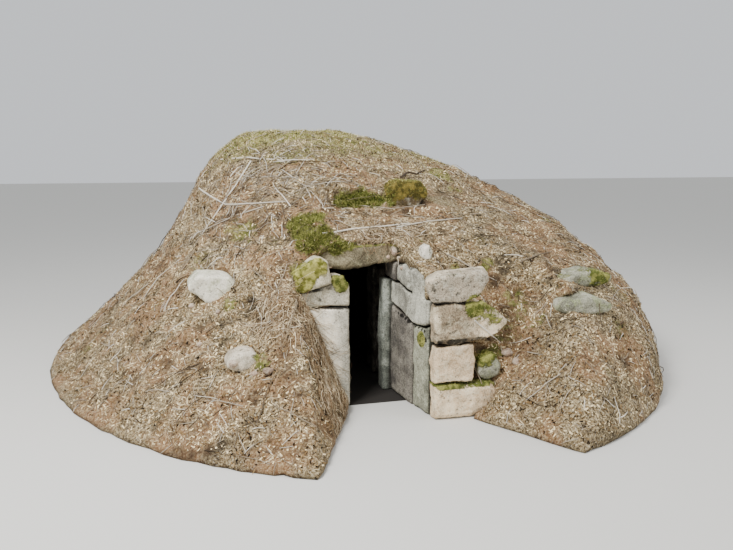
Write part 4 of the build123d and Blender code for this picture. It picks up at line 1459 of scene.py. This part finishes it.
@dataclass
class Twigs:
    """Dead twigs over the mound, and sticks at their places in the photo.

    The lengths hold a gamma distribution's shape and scale, and the shortest length. Each stick is the
    pixels that it passes, its radius and its tone.
    """

    ground: Ground
    entry: Entry
    count: int = 5400
    on_moss: Fall = (1.05, 0.5)
    lengths: tuple[float, float, float] = (2.2, 0.045, 0.04)
    radii: Span = (0.0025, 0.0058)
    long_share: float = 0.03
    long_lengths: Span = (0.3, 0.7)
    long_radii: Span = (0.004, 0.008)
    door_middle: Place = (0.1, 0.0, 1.4)
    clear_of_door: float = 0.85
    runs: int = 3
    long_runs: int = 5
    arch: float = 0.05
    bend: float = 0.09
    lift: float = 0.8
    taper: float = 0.45
    stick_taper: float = 0.5
    tones: Beta = (0.9, 1.1)
    longest_jump: float = 1.5
    thicket: Patch = Patch(-0.9, 1.3, 2.1, 1.4, 4.0)

    FINISH = ScatterFinish("dead_wood", (66, 55, 45), (140, 126, 106), (222, 214, 198))
    STICK_SHARES = (0.0, 0.34, 0.67)
    STICK_SIDES = 5
    STICKS = (
        (((208, 161), (248, 158), (282, 161), (313, 160)), 0.010, 0.9),
        (((251, 162), (236, 186), (222, 206), (203, 234)), 0.011, 0.95),
        (((245, 166), (232, 180), (228, 196)), 0.007, 0.7),
        (((200, 189), (213, 198), (226, 205)), 0.012, 0.9),
        (((226, 205), (254, 204), (286, 202)), 0.010, 0.8),
        (((264, 207), (236, 216), (210, 228), (184, 240)), 0.009, 0.7),
        (((232, 197), (247, 203), (262, 209)), 0.007, 0.6),
        (((322, 234), (352, 230), (382, 227), (410, 224)), 0.011, 1.0),
        (((396, 228), (430, 222), (462, 219)), 0.013, 0.75),
        (((398, 239), (416, 229), (436, 218), (452, 213)), 0.007, 0.6),
        (((345, 222), (372, 226), (398, 222)), 0.006, 0.5),
        (((400, 178), (408, 173), (416, 175), (424, 171)), 0.016, 0.1),
        (((520, 262), (536, 256), (551, 252)), 0.010, 0.3),
        (((474, 320), (487, 331), (500, 343)), 0.009, 1.0),
        (((446, 254), (462, 262), (478, 272), (496, 281)), 0.007, 0.7),
        (((470, 215), (492, 212), (515, 208)), 0.007, 0.6),
        (((275, 283), (279, 292), (277, 303)), 0.006, 0.9),
        (((257, 307), (262, 318), (261, 330)), 0.006, 0.9),
        (((355, 205), (392, 209), (425, 205)), 0.005, 0.7),
        (((232, 172), (252, 178), (280, 176)), 0.006, 0.8),
        (((268, 190), (290, 196), (310, 192)), 0.005, 0.6),
    )

    def build(self) -> None:
        """Lays the twigs, thickest in the thicket and thin on moss, and then the sticks."""
        heap = Loose("dead_twigs", 9)
        rng = heap.rng
        weight = self.ground.masks["open"] * thinned(self.ground.masks["moss"], *self.on_moss)
        weight *= 1 + self.thicket.weight(self.entry.local(self.ground.points))
        places, normals = self.ground.scatter(self.count, weight, rng)
        shape, scale, shortest = self.lengths
        for place, heading in zip(places, tangents(normals, rng)):
            from_door = np.linalg.norm(self.entry.local(place) - self.door_middle)
            long = rng.random() < self.long_share and from_door > self.clear_of_door
            length = rng.uniform(*self.long_lengths) if long else rng.gamma(shape, scale) + shortest
            radius = rng.uniform(*(self.long_radii if long else self.radii))
            tone = rng.beta(*self.tones)
            path = self.path(rng, Vector(place), Vector(heading), length, radius, long)
            if path:
                heap.tube(path, radius, radius * self.taper, tone)
        for pixels, radius, tone in self.STICKS:
            path = self.stick(pixels, radius)
            if len(path) > 2:
                heap.tube(path, radius, radius * self.stick_taper, tone, self.STICK_SIDES)
        heap.place(self.FINISH.material())

    def path(
        self, rng: np.random.Generator, place: Vector, heading: Vector,
        length: float, radius: float, long: bool,
    ) -> list[Vector]:
        """Bends one twig along the ground.

        Args:
            rng: where the numbers come from.
            place: where it starts.
            heading: the way it points.
            length: how long it is.
            radius: its radius at the thick end.
            long: whether it is a long one.

        Returns:
            Its middle line, or nothing where it would jump from one surface to another.
        """
        runs = self.long_runs if long else self.runs
        path = []
        for run in range(runs + 1):
            arch = math.sin(math.pi * run / runs) * length * self.arch
            path.append(self.ground.settled(place, radius * self.lift + arch))
            heading = (heading + Vector(rng.normal(size=3)) * self.bend).normalized()
            place = path[-1] + heading * (length / runs)
        jump = max((b - a).length for a, b in zip(path, path[1:]))
        return path if jump < length / runs * self.longest_jump else []

    def stick(self, pixels: Sequence[Pixel], radius: float) -> list[Vector]:
        """Finds where the camera sees one stick.

        Args:
            pixels: the photo's pixels that it passes.
            radius: its radius at the thick end.

        Returns:
            Its middle line.
        """
        passed = [
            (x0 + (x1 - x0) * share, y0 + (y1 - y0) * share)
            for (x0, y0), (x1, y1) in zip(pixels, pixels[1:]) for share in self.STICK_SHARES
        ]
        seen = [self.entry.seen(self.ground.tree, pixel) for pixel in (*passed, pixels[-1])]
        return [self.ground.settled(place, radius) for place in seen if place]


@dataclass(frozen=True)
class Blades:
    """One kind of blade: how many, their lengths, their width, and their lowest and highest tone."""

    count: int
    tall: Span
    wide: float
    tones: Span


@dataclass
class MossTufts:
    """Moss and short dry grass that stand up from the mossy ground and stones."""

    ground: Ground
    deep: Blades = Blades(17000, (0.015, 0.06), 0.006, (0.1, 0.9))
    light: Blades = Blades(25000, (0.006, 0.022), 0.005, (0.3, 1.0))
    grass: Blades = Blades(12000, (0.015, 0.045), 0.0045, (0.0, 1.0))
    mossy_span: Span = (0.5, 0.8)
    in_deep: Fall = (1.02, 1.0)
    on_stone: float = 0.7
    crest_span: Span = (2.15, 2.7)
    grass_on_moss: float = 0.35
    lean: Span = (0.2, 0.9)
    rise: Place = (0.0, 0.0, 0.2)
    sunk: float = 0.003
    taper: float = 0.3

    MOSS = ScatterFinish("moss_blades", (54, 66, 26), (122, 128, 60), (200, 192, 120))
    GRASS = ScatterFinish("dry_grass", (128, 124, 62), (206, 196, 130), (252, 242, 192))

    def build(self) -> None:
        """Plants the deep green moss, the light moss and the grass of the crest."""
        masks = self.ground.masks
        mossy = smooth_step(masks["moss"], *self.mossy_span)
        heap = Loose("moss_tufts", 13)
        self.grow(heap, self.deep, mossy * masks["deep"])
        shallow = mossy * thinned(masks["deep"], *self.in_deep)
        self.grow(heap, self.light, shallow * (masks["open"] + self.on_stone))
        heap.place(self.MOSS.material())
        crest = masks["open"] * smooth_step(self.ground.points[:, 2], *self.crest_span)
        heap = Loose("crest_grass", 17)
        self.grow(heap, self.grass, crest + mossy * self.grass_on_moss * masks["open"])
        heap.place(self.GRASS.material())

    def grow(self, heap: Loose, kind: Blades, weight: np.ndarray) -> None:
        """Grows the blades of one kind.

        Args:
            heap: where they go.
            kind: the kind.
            weight: how likely each part of the ground is.
        """
        rng, count = heap.rng, kind.count
        places, normals = self.ground.scatter(count, weight, rng)
        lean = tangents(normals, rng) * rng.uniform(*self.lean, count)[:, None]
        ahead = unit(normals + lean + np.array(self.rise)) * rng.uniform(*kind.tall, count)[:, None]
        across = unit(np.cross(ahead, rng.normal(size=ahead.shape))) * kind.wide
        tones = rng.uniform(*kind.tones, count)
        heap.strips(places - normals * self.sunk, ahead, across, tones, self.taper)


@dataclass
class Straw:
    """Dry straw and roots that hang down the bank beside the left jamb."""

    ground: Ground
    count: int = 2200
    lengths: Span = (0.08, 0.34)
    radii: Span = (0.0016, 0.0034)
    tip: float = 0.0012
    least_lift: float = 0.003
    lift: float = 0.02
    runs: int = 4
    spread: float = 0.45
    bend: float = 0.25
    gather: float = 1.5
    tones: Beta = (0.9, 0.9)

    FINISH = ScatterFinish("dry_straw", (70, 54, 40), (158, 132, 100), (232, 214, 180))

    def build(self) -> None:
        """Hangs the strands."""
        heap = Loose("bank_straw", 21)
        rng = heap.rng
        places, normals = self.ground.scatter(self.count, self.ground.masks["straw"] ** self.gather, rng)
        for place, normal in zip(places, normals):
            downhill = Vector((0, 0, -1)) + Vector(normal) * float(normal[2])
            heading = (downhill + Vector(rng.normal(size=3)) * self.spread).normalized()
            length = rng.uniform(*self.lengths)
            spot = Vector(place)
            path = []
            for _ in range(self.runs + 1):
                path.append(self.ground.settled(spot, self.least_lift + rng.uniform(0, self.lift)))
                heading = (heading + Vector(rng.normal(size=3)) * self.bend).normalized()
                spot = path[-1] + heading * (length / self.runs)
            heap.tube(path, rng.uniform(*self.radii), self.tip, rng.beta(*self.tones))
        heap.place(self.FINISH.material())


@dataclass
class SmallStones:
    """Chocks in the joints and small stones in the earth, each by a pixel of the photo and its radius."""

    ground: Ground
    entry: Entry
    material: bpy.types.Material
    subdivisions: int = 3
    lumps: Relief = Relief(0.25, 0.9, 2)
    stretch: Span = (0.75, 1.2)

    PIXELS = (
        (394, 251, 0.040), (388, 257, 0.024), (399, 258, 0.022), (402, 268, 0.025), (233, 364, 0.05),
        (268, 371, 0.045), (192, 306, 0.035), (218, 312, 0.03), (507, 352, 0.05), (516, 362, 0.04),
        (254, 374, 0.03), (200, 345, 0.03),
    )

    def build(self) -> None:
        """Beds each stone where the camera sees it."""
        heap = Loose("small_stones", 33)
        for number, (across, down, radius) in enumerate(self.PIXELS):
            place = self.entry.seen(self.ground.tree, (across, down))
            ball = bmesh.new()
            bmesh.ops.create_icosphere(ball, subdivisions=self.subdivisions, radius=1)
            points = np.array([tuple(vertex.co) for vertex in ball.verts])
            faces = [[vertex.index for vertex in face.verts] for face in ball.faces]
            ball.free()
            points *= (1 + self.lumps.at(points, number))[:, None] * radius
            heap.add(points * heap.rng.uniform(*self.stretch, 3) + np.array(place), faces, 0.0)
        heap.place(self.material, Slot.GRANITE, smooth=True)


# ---------------------------------------------------------------- stage


@dataclass(frozen=True)
class Lamp:
    """A soft square lamp that shines at the mound: its place, its side in metres and its power in watts."""

    name: str
    place: Place
    size: float
    power: float

    AIM = (0, 0, 1)

    def hang(self) -> None:
        """Puts the lamp in the scene."""
        lamp = bpy.data.lights.new(self.name, "AREA")
        lamp.size = self.size
        lamp.energy = self.power
        made = bpy.data.objects.new(self.name, lamp)
        made.location = self.place
        made.rotation_euler = (Vector(self.AIM) - Vector(self.place)).to_track_quat("-Z", "Y").to_euler()
        bpy.context.scene.collection.objects.link(made)


@dataclass(frozen=True)
class Sheet:
    """A flat sheet of the stage: how far it lies under the ground, its colour and its roughness."""

    name: str
    depth: float
    colour: Colour
    roughness: float

    def lay(self, *boxes: tuple[float, float, float, float]) -> None:
        """Puts the sheet in the scene.

        Args:
            boxes: the left, front, right and back of each of its parts.
        """
        points = [
            (x, y, -self.depth)
            for left, front, right, back in boxes
            for x, y in ((left, front), (right, front), (right, back), (left, back))
        ]
        faces = np.arange(len(points)).reshape(-1, 4).tolist()
        material = Shader(self.name).end({"Base Color": rgba(self.colour), "Roughness": self.roughness})
        Piece.from_data(self.name, points, faces).shown(material)


@dataclass
class Studio:
    """Floor, a dark sheet of painted shade inside the passage and chamber that also keeps the floor from
    lighting the inside, soft light and the camera.
    """

    entry: Entry
    floor: Sheet = Sheet("floor", 0.004, (206, 204, 198), 0.9)
    half_floor: float = 60
    # Painted shade: a dark sheet on the floor inside the passage and chamber.
    dark: Sheet = Sheet("dark_sheet", 0.002, (40, 36, 32), 1.0)
    dark_left: float = -0.45
    dark_right: float = 0.50
    dark_front: float = 0.02
    lamps: tuple[Lamp, ...] = (
        Lamp("key", (-5.5, -7.0, 9.0), 3.2, 1780),
        Lamp("fill", (7.0, -6.0, 6.0), 7.0, 360),
    )
    sky_colour: tuple[float, ...] = (0.93, 0.96, 1.0, 1.0)
    sky_strength: float = 0.85

    def build(self) -> None:
        """Lays the floor and the dark sheet, hangs the lamps and sets the sky and the camera."""
        self.floor.lay((-self.half_floor, -self.half_floor, self.half_floor, self.half_floor))
        low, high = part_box("front_wall_left_pier")[0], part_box("chamber_rear_wall")[1]
        middle, front = self.entry.origin[:2]
        passage = (middle + self.dark_left, front + self.dark_front, middle + self.dark_right, low[1])
        self.dark.lay(passage, (low[0], low[1], high[0], high[1]))
        for lamp in self.lamps:
            lamp.hang()
        self.sky()
        self.camera()

    def sky(self) -> None:
        """Sets the sky's even light."""
        world = bpy.data.worlds.new("world")
        world.use_nodes = True
        sky = world.node_tree.nodes["Background"]
        sky.inputs["Color"].default_value = self.sky_colour
        sky.inputs["Strength"].default_value = self.sky_strength
        bpy.context.scene.world = world

    def camera(self) -> None:
        """Sets the camera that the photo was taken from."""
        camera = bpy.data.cameras.new("camera")
        camera.sensor_width = self.entry.sensor
        camera.lens = self.entry.focal_pixels / self.entry.image[0] * self.entry.sensor
        view = bpy.data.objects.new("camera", camera)
        view.location = self.entry.eye
        view.rotation_euler = self.entry.turn
        bpy.context.scene.collection.objects.link(view)
        bpy.context.scene.camera = view


def main() -> None:
    """Builds the shelter piece by piece, then the studio round it."""
    logging.basicConfig(level=logging.INFO, format="%(name)s: %(message)s")
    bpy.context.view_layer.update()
    entry = Entry()
    weather = Weather(entry)
    stonework = Stonework(weather)
    stonework.build()
    skin = Mound(entry, weather).build()
    ground = Ground([skin, *stonework.pieces])
    Litter(ground).build()
    Twigs(ground, entry).build()
    MossTufts(ground).build()
    Straw(ground).build()
    SmallStones(ground, entry, stonework.materials["granite_chock"]).build()
    Studio(entry).build()


if __name__ == "__main__":
    main()
